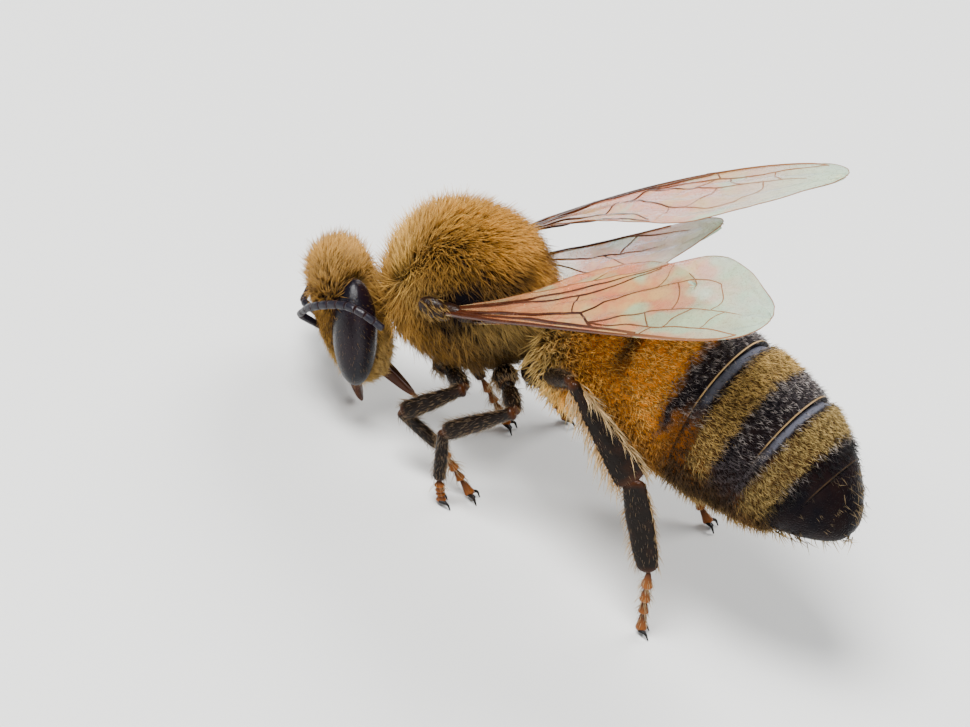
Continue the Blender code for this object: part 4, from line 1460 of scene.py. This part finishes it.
# %% Feelers
SCAPE_FOOT = (0.3, -0.62, -0.04)
SOCKET_RADIUS = 0.13
FEELERS = (
    # side, hand, elbow, points of the whip
    ("left", 1, (1.05, -1.03, 0.74),
     ((1.6, -0.68, 1.0), (2.18, 0.0, 1.04), (2.5, 0.42, 0.85), (2.65, 0.82, 0.35))),
    ("right", -1, (-1.0, -1.06, 0.38),
     ((-1.58, -0.75, 0.55), (-2.15, -0.1, 0.6), (-2.5, 0.35, 0.35), (-2.6, 0.7, -0.15))),
)
FEELER_LINKS = 10
FEELER_RADIUS, FEELER_END_RADIUS = 0.1, 0.085
SCAPE_ROWS = ((0, 0.09, 0.09), (0.08, 0.1, 0.1), (0.12, 0.055, 0.055), (0.25, 0.075, 0.075),
              (0.9, 0.095, 0.095), (1, 0.07, 0.07))
BARREL = ((0, 0.62), (0.04, 0.86), (0.14, 0.97), (0.5, 1.0), (0.86, 0.98), (0.96, 0.9), (1.02, 0.6))


def even_joints(points, count):
    """Points at equal distances along a line of points."""
    lengths = np.cumsum([0.0] + [(after - before).length for before, after in zip(points, points[1:])])
    spots = np.linspace(0, lengths[-1], count + 1)
    columns = [np.interp(spots, lengths, [point[axis] for point in points]) for axis in range(3)]
    return [Vector(spot) for spot in zip(*columns)]


barrel = link_of("barrel_link", BARREL)
carry(barrel.data, thin=[0.5 if spot.co.z < 0.05 or spot.co.z > 0.95 else 0.0 for spot in barrel.data.vertices])
slim_ends = (FEELER_END_RADIUS, FEELER_RADIUS, FEELER_RADIUS, FEELER_END_RADIUS)
widths = [FEELER_END_RADIUS, *np.interp(np.linspace(0, 1, FEELER_LINKS), (0, 0.15, 0.8, 1), slim_ends)]
for side, hand, elbow, whip in FEELERS:
    foot, bend = in_head(SCAPE_FOOT[0] * hand, SCAPE_FOOT[1], SCAPE_FOOT[2]), in_head(*elbow)
    outward = (bend - foot).normalized()
    collar_line = [foot - outward * 0.04, foot + outward * 0.06]
    collar = tube(f"feeler_socket_{side}", collar_line, (SOCKET_RADIUS, SOCKET_RADIUS * 0.8), 24)
    carry(collar.data, thin=0.4)
    finished(collar, chitin["feeler"], "feeler")
    scape = limb(f"scape_{side}", foot, bend, SCAPE_ROWS, head_crown, 16)
    finished(scape, chitin["feeler"], "feeler", f"antenna_{side}_scape")
    joints = even_joints(curve_through([bend, *(in_head(*point) for point in whip)], 8), FEELER_LINKS + 1)
    flagellum = row_of_links(f"flagellum_{side}", barrel, joints, widths, widths, head_nape, chitin["feeler"])
    finished(flagellum, chitin["feeler"], "feeler", f"antenna_{side}_flagellum")

# %% [markdown]
# ## Mouth
#
# Below the feelers the face is a smooth domed shield with little hair. The jaws under it are spoon-shaped and
# close across the base of the tongue. A small flap, the upper lip, covers where they meet. The tongue is
# folded back under the head: two blades with the hairy rod between them. All are short limb pieces, only
# flattened more than round.

# %% Mouth
MANDIBLE_LENGTH, PROBOSCIS_LENGTH = 0.8, 1.2
PROBOSCIS_LINE = Vector((1.18, 0.06, -0.35)).normalized()
MANDIBLE_ROWS = ((0, 0.17, 0.13), (0.2, 0.2, 0.14), (0.45, 0.17, 0.12), (0.8, 0.21, 0.09), (0.95, 0.18, 0.06),
                 (1, 0.09, 0.03))
SHIELD_ROWS = ((0, 0.2, 0.08), (0.25, 0.34, 0.13), (0.6, 0.46, 0.15), (0.9, 0.46, 0.12), (1, 0.4, 0.07))
LIP_ROWS = ((0, 0.3, 0.06), (0.6, 0.36, 0.06), (1, 0.3, 0.03))
BLADE_ROWS = ((0, 0.13, 0.06), (0.3, 0.13, 0.055), (0.7, 0.09, 0.045), (0.95, 0.04, 0.03), (1, 0.02, 0.02))
TONGUE_ROWS = ((0, 0.08, 0.08), (0.5, 0.06, 0.06), (0.9, 0.05, 0.05), (1, 0.06, 0.06))


def in_mouth(x, y, z):
    """A place in the head's directions, but measured from the height of the jaws."""
    return in_head(x, y, JAW_LINE + z)


for side, hand in HANDS:
    start, end = in_mouth(0.6 * hand, -0.28, 0.5), in_mouth(0.1 * hand, -0.36, 0.52 - MANDIBLE_LENGTH)
    jaw = limb(f"jaw_{side}", start, end, MANDIBLE_ROWS, head_nape, 18, -0.05)
    finished(jaw, chitin["mouth"], "mouthparts", f"mandible_{side}")
shield = limb("face_shield", in_head(0, -0.6, -0.28), in_mouth(0, -0.4, 0.3), SHIELD_ROWS, head_nape, 32)
finished(shield, chitin["face shield"], "mouthparts")
lip = limb("upper_lip", in_mouth(0, -0.5, 0.45), in_mouth(0, -0.42, -0.05), LIP_ROWS, head_nape, 24)
finished(lip, chitin["mouth"], "mouthparts")
throat = in_mouth(0, 0.3, 0.3)
tongue_side, tongue_up = directions(PROBOSCIS_LINE, UP)
blades = [limb("tongue_rod", throat, throat + PROBOSCIS_LINE * PROBOSCIS_LENGTH, TONGUE_ROWS, tongue_up, 14)]
for _, hand in HANDS:
    start = throat + tongue_side * (0.12 * hand)
    end = throat + PROBOSCIS_LINE * (PROBOSCIS_LENGTH * 0.86) + tongue_side * (0.05 * hand)
    blades.append(limb(f"tongue_blade_{hand}", start, end, BLADE_ROWS, tongue_side, 14))
finished(joined("tongue", blades), chitin["mouth"], "mouthparts", "proboscis")

# %% [markdown]
# ## Legs
#
# Each leg has a short root, a thigh, a shin, a long first foot joint and four small ones with a pair of
# claws. Thigh and shin are slim on the front and middle legs. The hind shin widens into the pollen basket: a
# flat, shining plate with a fringe of long hair down both edges. The first foot joint behind it is broad too,
# a brush. So one builder takes rows of sizes and the hind legs simply get wider rows.

# %% Sizes of the legs
LEGS = {
    # hip, knee, ankle, end of the brush, and where the toes stand
    "front_left":
        ((0.3, -0.6, -1.75), (1.25, -1.35, -1.6), (0.2, -1.75, -2.8), (1.28, -1.45, -3.25), (2.35, -1.2)),
    "front_right":
        ((0.3, 0.6, -1.75), (1.05, 1.6, -1.65), (-0.15, 1.95, -2.75), (0.85, 1.85, -3.35), (1.8, 1.95)),
    "middle_left":
        ((1.75, -0.7, -1.1), (2.66, -1.95, -1.02), (1.36, -2.1, -2.42), (1.75, -2.15, -3.6), (1.95, -2.0)),
    "middle_right":
        ((1.55, 0.7, -1.3), (2.5, 2.1, -1.0), (1.75, 2.6, -2.6), (2.2, 2.95, -3.5), (2.7, 3.4)),
    "hind_left":
        ((2.3, -0.65, -0.75), (3.6, -2.42, 0.82), (5.9, -2.42, -0.68), (7.08, -2.4, -2.58), (7.45, -2.25)),
    "hind_right":
        ((2.25, 0.6, -0.85), (3.3, 2.25, 0.55), (4.6, 2.45, -1.8), (5.95, 2.65, -3.3), (6.9, 2.8)),
}
ROOT_SHARE = 0.3  # of the way from hip to knee
COXA_ROWS = ((0, 0.26, 0.24), (0.4, 0.29, 0.26), (0.85, 0.24, 0.22), (1, 0.15, 0.15))
FEMUR_ROWS = ((0, 0.1, 0.1), (0.07, 0.16, 0.15), (0.13, 0.17, 0.15), (0.17, 0.11, 0.11), (0.3, 0.2, 0.17),
              (0.6, 0.21, 0.18), (0.9, 0.15, 0.14), (1, 0.12, 0.12))
SHIN_ROWS = ((0, 0.14, 0.13), (0.06, 0.17, 0.15), (0.12, 0.13, 0.13), (0.5, 0.2, 0.16), (0.9, 0.22, 0.16),
             (1, 0.15, 0.12))
BASKET_ROWS = ((0, 0.12, 0.12), (0.05, 0.15, 0.14), (0.12, 0.14, 0.12), (0.35, 0.24, 0.13), (0.65, 0.33, 0.13),
               (0.9, 0.39, 0.12), (0.97, 0.37, 0.1), (1, 0.2, 0.08))
BRUSH_ROWS = ((0, 0.09, 0.08), (0.07, 0.13, 0.12), (0.5, 0.155, 0.12), (0.92, 0.15, 0.12), (1, 0.09, 0.08))
BROAD_BRUSH_ROWS = ((0, 0.16, 0.08), (0.06, 0.27, 0.1), (0.35, 0.33, 0.1), (0.8, 0.3, 0.1), (0.95, 0.24, 0.09),
                    (1, 0.1, 0.07))
TOE_ROWS = ((0, 0.06, 0.05), (0.24, 0.13, 0.1), (0.28, 0.07, 0.06), (0.48, 0.12, 0.1), (0.52, 0.07, 0.06),
            (0.68, 0.12, 0.09), (0.72, 0.06, 0.05), (0.97, 0.13, 0.09), (1, 0.06, 0.05))
TOE_REACH = 0.12  # from the floor up to the middle line of the toes' tips
TARSUS_ENDS = (0, 0.26, 0.5, 0.7, 1.0)  # of the four small foot joints, as shares of the foot
TARSUS_WIDTHS, HIND_TARSUS_WIDTHS = (0.125, 0.12, 0.115, 0.125), (0.14, 0.135, 0.13, 0.14)
TARSUS_FLATNESS = 0.8
BRUSH_OVERLAP = 0.05  # of its length that the first foot joint reaches back over the ankle
OUTWARD_RISE = 0.35  # how far the outer faces of legs and wing scales look up
FLARE = ((0, 0.34), (0.06, 0.44), (0.4, 0.66), (0.85, 1.0), (0.96, 0.9), (1.05, 0.4))
CLAW_RADIUS, CLAW_TAPER = 0.045, (1, 0.9, 0.6, 0.3)
PAD_RADII = (0.05, 0.075, 0.06)

flare = link_of("flared_link", FLARE)
carry(flare.data, thin=[spot.co.z for spot in flare.data.vertices])
print("legs:", list(LEGS))

# %% [markdown]
# Each shell piece of a leg goes from joint to joint. The four small foot joints are a row of one flared link.
# The claws are bent tubes: two hooks, and the pad between them that holds on to smooth ground.

# %% Legs
leg_grounds = {leg: [] for leg in LEGS}


def leg_piece(leg, part, near, far, rows, outward):
    """One shell piece of a leg. It keeps a copy as a ground for the bristles."""
    piece = limb(f"{leg}_{part}", near, far, rows, outward)
    leg_grounds[leg].append((part, piece.data.copy(), near, far, outward))
    return piece


def claws(leg, tip, ahead):
    """Two hooked claws and the pad between them, from the tip of the foot down to the floor."""
    side = ahead.cross(UP)
    hooks = []
    for hand in (1, -1):
        start = tip - ahead * 0.05 + side * (0.05 * hand)
        out = tip + ahead * 0.1 + side * (0.16 * hand) + UP * 0.03
        down = tip + ahead * 0.22 + side * (0.19 * hand)
        down.z = CLAW_RADIUS * 0.5
        line, radii = curve_through([start, out, down], 7), [CLAW_RADIUS * share for share in CLAW_TAPER]
        hooks.append(tube(f"hook_{leg}_{hand}", line, radii, 10))
    pad_end = tip + ahead * 0.12
    pad_end.z = 0.06
    hooks.append(tube(f"pad_{leg}", curve_through([tip - ahead * 0.04, pad_end], 5), PAD_RADII, 12, 0.7))
    piece = joined(f"{leg}_claws", hooks)
    carry(piece.data, thin=0.0)
    finished(piece, chitin["claw"], "toe")


for leg, (*joints, toes) in LEGS.items():
    hip, knee, ankle, brush = (at(*joint) for joint in joints)
    toe = at(*toes, 0)
    toe.z = TOE_REACH
    outward = Vector((0, math.copysign(1, joints[0][1]), OUTWARD_RISE))
    root = hip.lerp(knee, ROOT_SHARE)
    hind = leg.startswith("hind")
    for part, near, far, rows in (
        ("coxa", hip, root, COXA_ROWS), ("femur", root, knee, FEMUR_ROWS),
        ("tibia", knee, ankle, BASKET_ROWS if hind else SHIN_ROWS),
        ("basitarsus", ankle.lerp(brush, -BRUSH_OVERLAP), brush, BROAD_BRUSH_ROWS if hind else BRUSH_ROWS),
    ):
        finished(leg_piece(leg, part, near, far, rows, outward), chitin["leg"], "leg", f"leg_{leg}_{part}")
    widths = HIND_TARSUS_WIDTHS if hind else TARSUS_WIDTHS
    thicknesses = [wide * TARSUS_FLATNESS for wide in widths]
    ends = [brush.lerp(toe, share) for share in TARSUS_ENDS]
    foot = row_of_links(f"{leg}_foot", flare, ends, widths, thicknesses, outward, chitin["foot"])
    finished(foot, chitin["foot"], "toe", f"leg_{leg}_tarsus")
    bpy.data.objects.remove(leg_piece(leg, "toes", brush, toe, TOE_ROWS, outward))
    ahead = toe - brush
    ahead.z = 0
    claws(leg, toe, ahead.normalized() if ahead.length > 0.1 else X)

# %% [markdown]
# Bristles break the outline of every leg. They are nearly black on thigh and shin, and golden at the root, on
# the toes and down the edges of the basket. So their material blends two colours by a number that the ground
# carries, and chance varies the share from one bristle to the next.

# %% Bristle material
bristle_material, tree, shader = open_material("leg bristle", FAWN, 0.45)
tip, shade = read(tree, "tip"), read(tree, "shade")
dark_bristle = blend(tip, (0.01, 0.006, 0.004), (0.12, 0.065, 0.028))
gold_bristle = blend(tip, (0.34, 0.18, 0.055), (0.74, 0.54, 0.27))
share = (read(tree, "pale") + (shade - 0.5) * 0.45).held()
paint(shader, blend(share, dark_bristle, gold_bristle), 0.35 + shade * 0.2)
print("nodes in the bristles' material:", len(tree.nodes))

# %% [markdown]
# They grow by the same tree as the coat, one short spike a tuft. Along both edges of the hind shin they are
# long and curved over the basket, whose face stays bare. The grounds of a leg are joined first, so that each
# leg has one piece of bristles.

# %% Leg bristles
BRISTLE_PALENESS = {"coxa": 0.55, "femur": 0.12, "tibia": 0.12, "basitarsus": 0.15, "toes": 0.6}
SHAGGINESS = {"coxa": 1.6, "femur": 1.15}
BRISTLES, BRISTLE_SEED = (430.0, 0.26, 0.35), 40


def comb_leg(leg, part, ground, near, far, outward):
    """Combs one piece of a leg along its length, with a fringe down its edges."""
    along = (far - near).normalized()
    across, up = directions(along, outward)
    points, normals = points_of(ground), normals_of(ground)
    edge, face = normals @ np.array(across), normals @ np.array(up)
    fraction = np.clip((points - np.array(near)) @ np.array(along) / (far - near).length, 0, 1)
    basket = leg.startswith("hind") and part == "tibia"
    broad = basket or (leg.startswith("hind") and part == "basitarsus")
    fringe = smooth(np.abs(edge), 0.45, 0.85) * (1.0 if broad else 0.35)
    upper_edge = smooth(-math.copysign(1, outward.y) * edge, 0.0, 0.5)
    bare_face = smooth(face, 0.3, 0.7) if broad else 0.0
    lie = np.tile(np.array(along), (len(points), 1))
    if basket:
        lie = lie + np.outer(0.3 * fringe * upper_edge, up)
    shaggy = SHAGGINESS.get(part, 1.0)
    reach = (0.9 if part == "toes" else 0.55) + (1.9 if basket else 1.0) * fringe
    cover = shaggy * (0.45 + (1.05 if basket else 0.9) * fringe) * (1 - 0.72 * bare_face)
    clear = smooth(points[:, 2], 0.3, 0.55)  # none so near the floor that it would reach through it
    combed(ground, lie, cover=cover * smooth(fraction, 0.03, 0.12) * clear, long=reach * shaggy,
           lift=0.7 + fringe * (0.7 - 0.9 * upper_edge), dusk=0.0)
    carry(ground, pale=BRISTLE_PALENESS[part] + (0.6 if basket else 0.5) * fringe * broad)


for leg, grounds in leg_grounds.items():
    shells = []
    for number, (part, ground, *place) in enumerate(grounds):
        comb_leg(leg, part, ground, *place)
        unwrap = ground.uv_layers["OFBake"].data
        spots = read_back(unwrap, "uv", 2)
        spots[:, 0] = (spots[:, 0] + number) / len(grounds)  # side by side, so that they don't overlap
        unwrap.foreach_set("uv", spots.ravel())
        shells.append(show(f"ground_{leg}_{part}", ground))
    whole = joined(f"ground_{leg}", shells)
    ground = whole.data.copy()
    bpy.data.objects.remove(whole)
    grow(f"{leg}_bristles", ground, "bristle", *BRISTLES, BRISTLE_SEED, bristle_material, "leg")

# %% [markdown]
# ## Wings
#
# A bee's wing is a clear skin only a few thousandths of a millimetre thick, stretched over raised brown
# veins, and slightly pleated along them. The skin is a closed sheet of small faces, which can bow and
# wrinkle. The veins are tubes on top of it. They are drawn in the wing's own measure: the first number runs
# from root to tip, the second from the leading edge to the trailing one, so that the same drawing fits any
# wing outline.

# %% A wing's own measure
FOREWING = (
    # along, leading edge, trailing edge
    (0, -0.15, 0.15), (1, -0.2, 0.45), (2.4, -0.25, 0.95), (4.2, -0.4, 1.65), (6.1, -0.6, 2.25),
    (7.4, -0.68, 1.75), (8.4, -0.66, 0.95), (8.95, -0.45, 0.45), (9.15, -0.2, 0.1),
)
HINDWING = (
    (0, -0.12, 0.15), (1, -0.15, 0.8), (2.2, -0.15, 1.45), (3.6, -0.2, 1.75), (4.8, -0.25, 1.5),
    (5.7, -0.22, 0.95), (6.2, -0.1, 0.5), (6.4, 0.05, 0.25),
)
WINGS = {
    # root, tip, chord, bow, and how far it is tucked under the wing before it
    "forewing_left": ((0.25, -1.78, 0.28), (7.3, -3.45, 5.75), (0, 0.93, 0.36), -0.2),
    "hindwing_left": ((0.8, -1.72, 0.1), (5.2, -2.19, 4.22), (0, 0.93, 0.36), -0.2, 0.26),
    "forewing_right": ((0.15, 1.8, 0.6), (6.6, 1.15, 6.95), (0.16, -0.97, 0.14), 0.45),
    "hindwing_right": ((0.85, 1.65, 0.4), (4.68, 0.39, 4.8), (0.28, -0.95, -0.08), 0),
}


class Wing:
    """Where the points of a wing lie."""

    def __init__(self, stations, root, tip, chord, bow, tuck=0.0):
        self.root, tip, self.bow = at(*root), at(*tip), bow
        self.span = (tip - self.root).normalized()
        chord = Vector(chord)
        self.chord = (chord - self.span * chord.dot(self.span)).normalized()
        self.above = self.span.cross(self.chord)
        self.above *= math.copysign(1, self.above.z)
        self.alongs, *self.edges = zip(*curve_through([Vector(station) for station in stations], 12))
        self.full = stations[-1][0]
        self.scale = (tip - self.root).length / self.full
        self.root += self.chord * tuck

    def place(self, u, v, height=0.0):
        """The point at share u of the span and v of the chord, this high above the membrane."""
        along = u * self.full
        leading, trailing = (float(np.interp(along, self.alongs, edge)) for edge in self.edges)
        across = leading + (trailing - leading) * v
        lift = self.bow * 4 * u * (1 - u) + self.pleat(u, v) + height
        spot = self.root + self.span * (along * self.scale) + self.chord * (across * self.scale)
        return spot + self.above * lift

    def pleat(self, u, v):
        """The shallow folds and wrinkles of the membrane."""
        folds = 0.04 * math.sin(v * 13 + u * 3) * (1 - u) + 0.025 * math.sin(v * 21 - u * 9 + 1)
        wide, fine = noise.noise(Vector((u * 14, v * 9, self.full))), noise.noise(Vector((u * 46, v * 22, 3)))
        return (folds + (wide * 0.04 + fine * 0.012)) * min(1.0, 5 * u, 5 * v)


def of_wing(name, fore, hind):
    """What a forewing or a hindwing has."""
    return fore if name.startswith("fore") else hind


wings = {name: Wing(of_wing(name, FOREWING, HINDWING), *rest) for name, rest in WINGS.items()}
print("wing spans in mm:", [round(wing.full * wing.scale, 2) for wing in wings.values()])

# %% [markdown]
# The membrane must look clear and yet catch the light. So its alpha is low, higher in clouds and towards the
# tip and lower near the root, and its shine comes from a smooth surface with a thin film. The pink, green and
# mint in its colour are painted iridescence, the reflected colours of a real wing, on top of what the thin film
# gives. Tiny hairs make a fine grain all over it.

# %% Wing material
wing_material, tree, shader = open_material("wing membrane", (0.62, 0.5, 0.42), 0.16, 0.9)
split = add_node(tree, "ShaderNodeSeparateXYZ", {0: read(tree, "wing_place", "Vector")})
along = Wire(split.outputs[0])
speckle, cloud = grain(tree, 30000.0, 1.0).rise(0.56, 0.7), grain(tree, 900.0, 4.0, 0.6)
outer, inner = along.rise(0.55, 1.0), along.fall(0.1, 0.42)
# The pink and green patches and the mint outer part are painted iridescence; the brown speckles are tiny hairs.
green = grain(tree, 600.0, 2.0).rise(0.52, 0.62) * 0.6
tint_with_painted_iridescence = blend(cloud.rise(0.42, 0.66), (0.72, 0.21, 0.1), (0.68, 0.36, 0.13))
for share, colour in (
    (green, (0.28, 0.66, 0.4)), (outer, (0.52, 0.64, 0.46)), (inner * 0.55, (0.55, 0.2, 0.06)),
    (speckle * 0.5, (0.2, 0.1, 0.05)),
):
    tint_with_painted_iridescence = blend(share, tint_with_painted_iridescence, colour)
alpha = 0.5 + cloud.rise(0.3, 0.75) * 0.2 + speckle * 0.2 - inner * 0.24 + outer * 0.1
feed(shader.inputs["Alpha"], alpha.held())
ripple = grain(tree, 3500.0, 4.0) * 1.0 + speckle * 0.3
paint(shader, tint_with_painted_iridescence, 0.1 + cloud * 0.2, bump(ripple, 0.03))
for name, value in (("IOR", 1.56), ("Thin Film Thickness", 420.0), ("Thin Film IOR", 1.45)):
    feed(shader.inputs[name], value)
print("nodes in the wings' material:", len(tree.nodes))

# %% [markdown]
# The sheet is two layers of points in rows from root to tip, closed round the rim. Each point carries its
# place in the wing's own measure, which the material reads.

# %% Membranes
MEMBRANE_THICKNESS = 0.014
ROWS, COLUMNS = 90, 36
TIP_CROWDING = 1.15  # more than 1 sets the rows closer together towards the tip
MEMBRANE_SHARP_ANGLE = math.radians(50)


def crowded(share):
    """The share of the span at which a row stands."""
    return 1 - (1 - share) ** TIP_CROWDING


def membrane(name, wing):
    """A closed thin sheet over the whole outline."""
    shares = [column / COLUMNS for column in range(COLUMNS + 1)]
    places = [(crowded(row / ROWS), share, 0) for row in range(ROWS + 1) for share in shares]
    heights = (MEMBRANE_THICKNESS / 2, -MEMBRANE_THICKNESS / 2)
    points = [wing.place(u, v, height) for height in heights for u, v, _ in places]
    across, layer = COLUMNS + 1, len(places)
    faces = []
    for row in range(ROWS):
        for near in range(row * across, row * across + COLUMNS):
            far = near + across
            faces.append((near, near + 1, far + 1, far))
            faces.append((layer + near, layer + far, layer + far + 1, layer + near + 1))
    rim = [*range(across), *(row * across + COLUMNS for row in range(1, ROWS + 1))]
    rim += [ROWS * across + column for column in reversed(range(COLUMNS))]
    rim += [row * across for row in range(ROWS - 1, 0, -1)]
    faces += [(here, after, after + layer, here + layer) for here, after in zip(rim, [*rim[1:], rim[0]])]
    mesh = mesh_of(name, points, faces)
    turn_outwards(mesh)
    carry(mesh, wing_place=places * 2)
    mesh.set_sharp_from_angle(angle=MEMBRANE_SHARP_ANGLE)
    return show(name, mesh)


print("faces in a membrane:", 2 * ROWS * COLUMNS + 2 * (ROWS + COLUMNS))

# %% [markdown]
# The veins are hollow ribs that hold the wing out. They are dark at the root and pale near the tip, so the
# material blends two browns by how far a point is from the root.

# %% Vein material
vein_material, tree, shader = open_material("wing vein", (0.14, 0.045, 0.016), 0.3)
worn = ((grain(tree, 3000.0, 3.0) - 0.3) * 0.5).held()
brown = blend(worn, (0.03, 0.007, 0.003), (0.17, 0.045, 0.01))
faded = blend(read(tree, "reach").rise(0.35, 0.95), brown, (0.26, 0.1, 0.035))
paint(shader, faded, 0.2 + worn * 0.4, bump(grain(tree, 12000.0, 2.0), 0.006))
print("nodes in the veins' material:", len(tree.nodes))

# %% [markdown]
# The net of veins is drawn once for a forewing and once for a hindwing, as the species has it. Each vein is a
# few points, joined by a smooth curve and laid on the folded sheet as a flat tube that gets finer towards the
# tip. A thin rim closes the outline.

# %% Veins and finished wings
FOREWING_VEINS = (
    # half widths at both ends, then the points
    (0.075, 0.035, (0.0, 0.3), (0.05, 0.1), (0.15, 0.03), (0.35, 0.015), (0.6, 0.012)),
    (0.06, 0.04, (0.0, 0.5), (0.07, 0.27), (0.17, 0.17), (0.35, 0.1), (0.5, 0.07), (0.6, 0.045)),
    (0.055, 0.022, (0.58, 0.02), (0.63, 0.025), (0.75, 0.012), (0.87, 0.012), (0.925, 0.06)),
    (0.03, 0.018, (0.43, 0.15), (0.5, 0.13), (0.56, 0.155), (0.635, 0.14), (0.7, 0.165), (0.79, 0.16),
     (0.87, 0.13), (0.925, 0.06)),
    (0.04, 0.03, (0.46, 0.07), (0.43, 0.15), (0.385, 0.35)),
    (0.05, 0.035, (0.0, 0.55), (0.08, 0.42), (0.2, 0.36), (0.385, 0.35)),
    (0.03, 0.012, (0.43, 0.15), (0.5, 0.24), (0.585, 0.31), (0.66, 0.35), (0.73, 0.37), (0.84, 0.41),
     (0.9, 0.45)),
    (0.024, 0.02, (0.61, 0.03), (0.635, 0.14)),
    (0.022, 0.02, (0.62, 0.145), (0.6, 0.23), (0.585, 0.31)),
    (0.022, 0.02, (0.665, 0.15), (0.685, 0.26), (0.73, 0.37)),
    (0.02, 0.018, (0.79, 0.16), (0.805, 0.28), (0.84, 0.41)),
    (0.03, 0.02, (0.385, 0.35), (0.46, 0.52), (0.56, 0.66), (0.62, 0.69)),
    (0.022, 0.02, (0.66, 0.35), (0.655, 0.52), (0.62, 0.69)),
    (0.02, 0.016, (0.62, 0.69), (0.69, 0.73), (0.76, 0.72)),
    (0.02, 0.016, (0.79, 0.39), (0.8, 0.56), (0.76, 0.72)),
    (0.018, 0.01, (0.56, 0.66), (0.575, 0.82), (0.57, 0.97)),
    (0.045, 0.02, (0.0, 0.7), (0.12, 0.7), (0.3, 0.72), (0.42, 0.79), (0.54, 0.95)),
    (0.024, 0.024, (0.36, 0.35), (0.345, 0.73)),
    (0.045, 0.02, (0.0, 0.85), (0.1, 0.88), (0.25, 0.9), (0.4, 0.92), (0.55, 0.985)),
)
HINDWING_VEINS = (
    (0.05, 0.03, (0.0, 0.3), (0.1, 0.08), (0.3, 0.03), (0.52, 0.02), (0.7, 0.02)),
    (0.03, 0.012, (0.5, 0.03), (0.65, 0.12), (0.82, 0.2)),
    (0.035, 0.024, (0.0, 0.5), (0.15, 0.38), (0.4, 0.32)),
    (0.024, 0.01, (0.4, 0.32), (0.55, 0.36), (0.74, 0.44)),
    (0.022, 0.02, (0.54, 0.04), (0.51, 0.18), (0.49, 0.34)),
    (0.022, 0.01, (0.4, 0.32), (0.5, 0.5), (0.6, 0.66)),
    (0.03, 0.012, (0.0, 0.7), (0.2, 0.62), (0.36, 0.68), (0.5, 0.84)),
)
RIM_RADIUS = 0.012
RIM_STEPS, TIP_STEPS, FRONT_STEPS = 40, 6, 20


def rim_line(wing):
    """The trailing edge, the tip and the outer tenth of the leading edge."""
    spots = [(crowded(step / RIM_STEPS), 1.0) for step in range(2, RIM_STEPS + 1)]
    spots += [(1.0, 1 - step / TIP_STEPS) for step in range(1, TIP_STEPS)]
    spots += [(1 - (step / FRONT_STEPS) * 0.1, 0.0) for step in range(FRONT_STEPS + 1)]
    return [wing.place(*spot) for spot in spots]


for name, wing in wings.items():
    finished(membrane(f"{name}_membrane", wing), wing_material, "wing", name)
    tubes = []
    for number, (near, far, *drawn) in enumerate(of_wing(name, FOREWING_VEINS, HINDWING_VEINS)):
        line = [wing.place(u, v) for u, v, _ in curve_through([Vector((*spot, 0)) for spot in drawn], 8)]
        vein = tube(f"{name}_vein_{number}", line, (near, far), 8, 0.8, wing.above)
        span = wing.full * wing.scale
        carry(vein.data, reach=[(spot.co - wing.root).length / span for spot in vein.data.vertices])
        tubes.append(vein)
    edge = tube(f"{name}_rim", rim_line(wing), (RIM_RADIUS, RIM_RADIUS), 6, 1.0, wing.above)
    carry(edge.data, reach=0.8)
    finished(joined(f"{name}_veins", [*tubes, edge]), vein_material, "wing")

# %% [markdown]
# Where a wing meets the body, a smooth brown scale covers the hinge, and small hard plates carry the wing's
# root. They fill the dark hollow in the hair behind the scale.

# %% Wing roots
TEGULA_PLACE, TEGULA_REACH = (-0.12, 1.86, 0.2), Vector((0.34, 0, 0.06)) * 0.95
SCALE_ROWS = ((0, 0.08, 0.07), (0.1, 0.15, 0.12), (0.3, 0.21, 0.15), (0.6, 0.24, 0.15), (0.85, 0.19, 0.11),
              (1, 0.09, 0.06))
HINGE_ROWS = ((0, 0.4, 0.4), (0.3, 1, 1), (0.7, 0.9, 0.9), (1, 0.4, 0.4))
RIGHT_HINGE_RISE = 0.25  # the right wings are held higher
HINGES = (
    # place, radius, half its length
    (0.3, 1.72, 0.3, 0.17, 0.3), (0.62, 1.68, 0.42, 0.12, 0.25), (0.62, 1.58, 0.2, 0.1, 0.2),
    (0.15, 1.7, 0.02, 0.12, 0.2),
)
SCALE_HAIRS, SCALE_HAIR_SEED = (260.0, 0.3, 0.4), 17

for side, hand in (("left", -1), ("right", 1)):
    x, y, z = TEGULA_PLACE
    centre, outward = at(x, y * hand, z), Vector((0, hand, OUTWARD_RISE))
    scale = limb(f"wing_scale_{side}", centre - TEGULA_REACH, centre + TEGULA_REACH, SCALE_ROWS, outward, 24)
    ground = scale.data.copy()
    carry(ground, ring=-0.8, around=0.5)
    lie = np.tile((1.0, 0.0, -0.2), (len(ground.vertices), 1))
    combed(ground, lie, cover=1.0, long=1.0, lift=0.8, dusk=0.4)
    finished(scale, chitin["root plate"], "root_plate", f"tegula_{side}")
    grow(f"wing_scale_hairs_{side}", ground, "bristle", *SCALE_HAIRS, SCALE_HAIR_SEED, hair_material,
         "golden_fur")
    lumps = []
    for number, (x, y, z, radius, reach) in enumerate(HINGES):
        spot = at(x, y * hand, z + (RIGHT_HINGE_RISE if hand > 0 else 0))
        lean = Vector((reach, 0.05 * hand, 0.12))
        rows = [(share, width * radius, thickness * radius) for share, width, thickness in HINGE_ROWS]
        lumps.append(limb(f"hinge_{side}_{number}", spot - lean, spot + lean, rows, outward, 14, 0.0, 12))
    finished(joined(f"wing_hinge_{side}", lumps), chitin["root plate"], "root_plate")

# %% Finish
for source in sources:
    bpy.data.objects.remove(source)
size = {"cad": [list(cad_low), list(cad_high)], "visual": [list(corner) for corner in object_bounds()]}
print("boxes:", size)
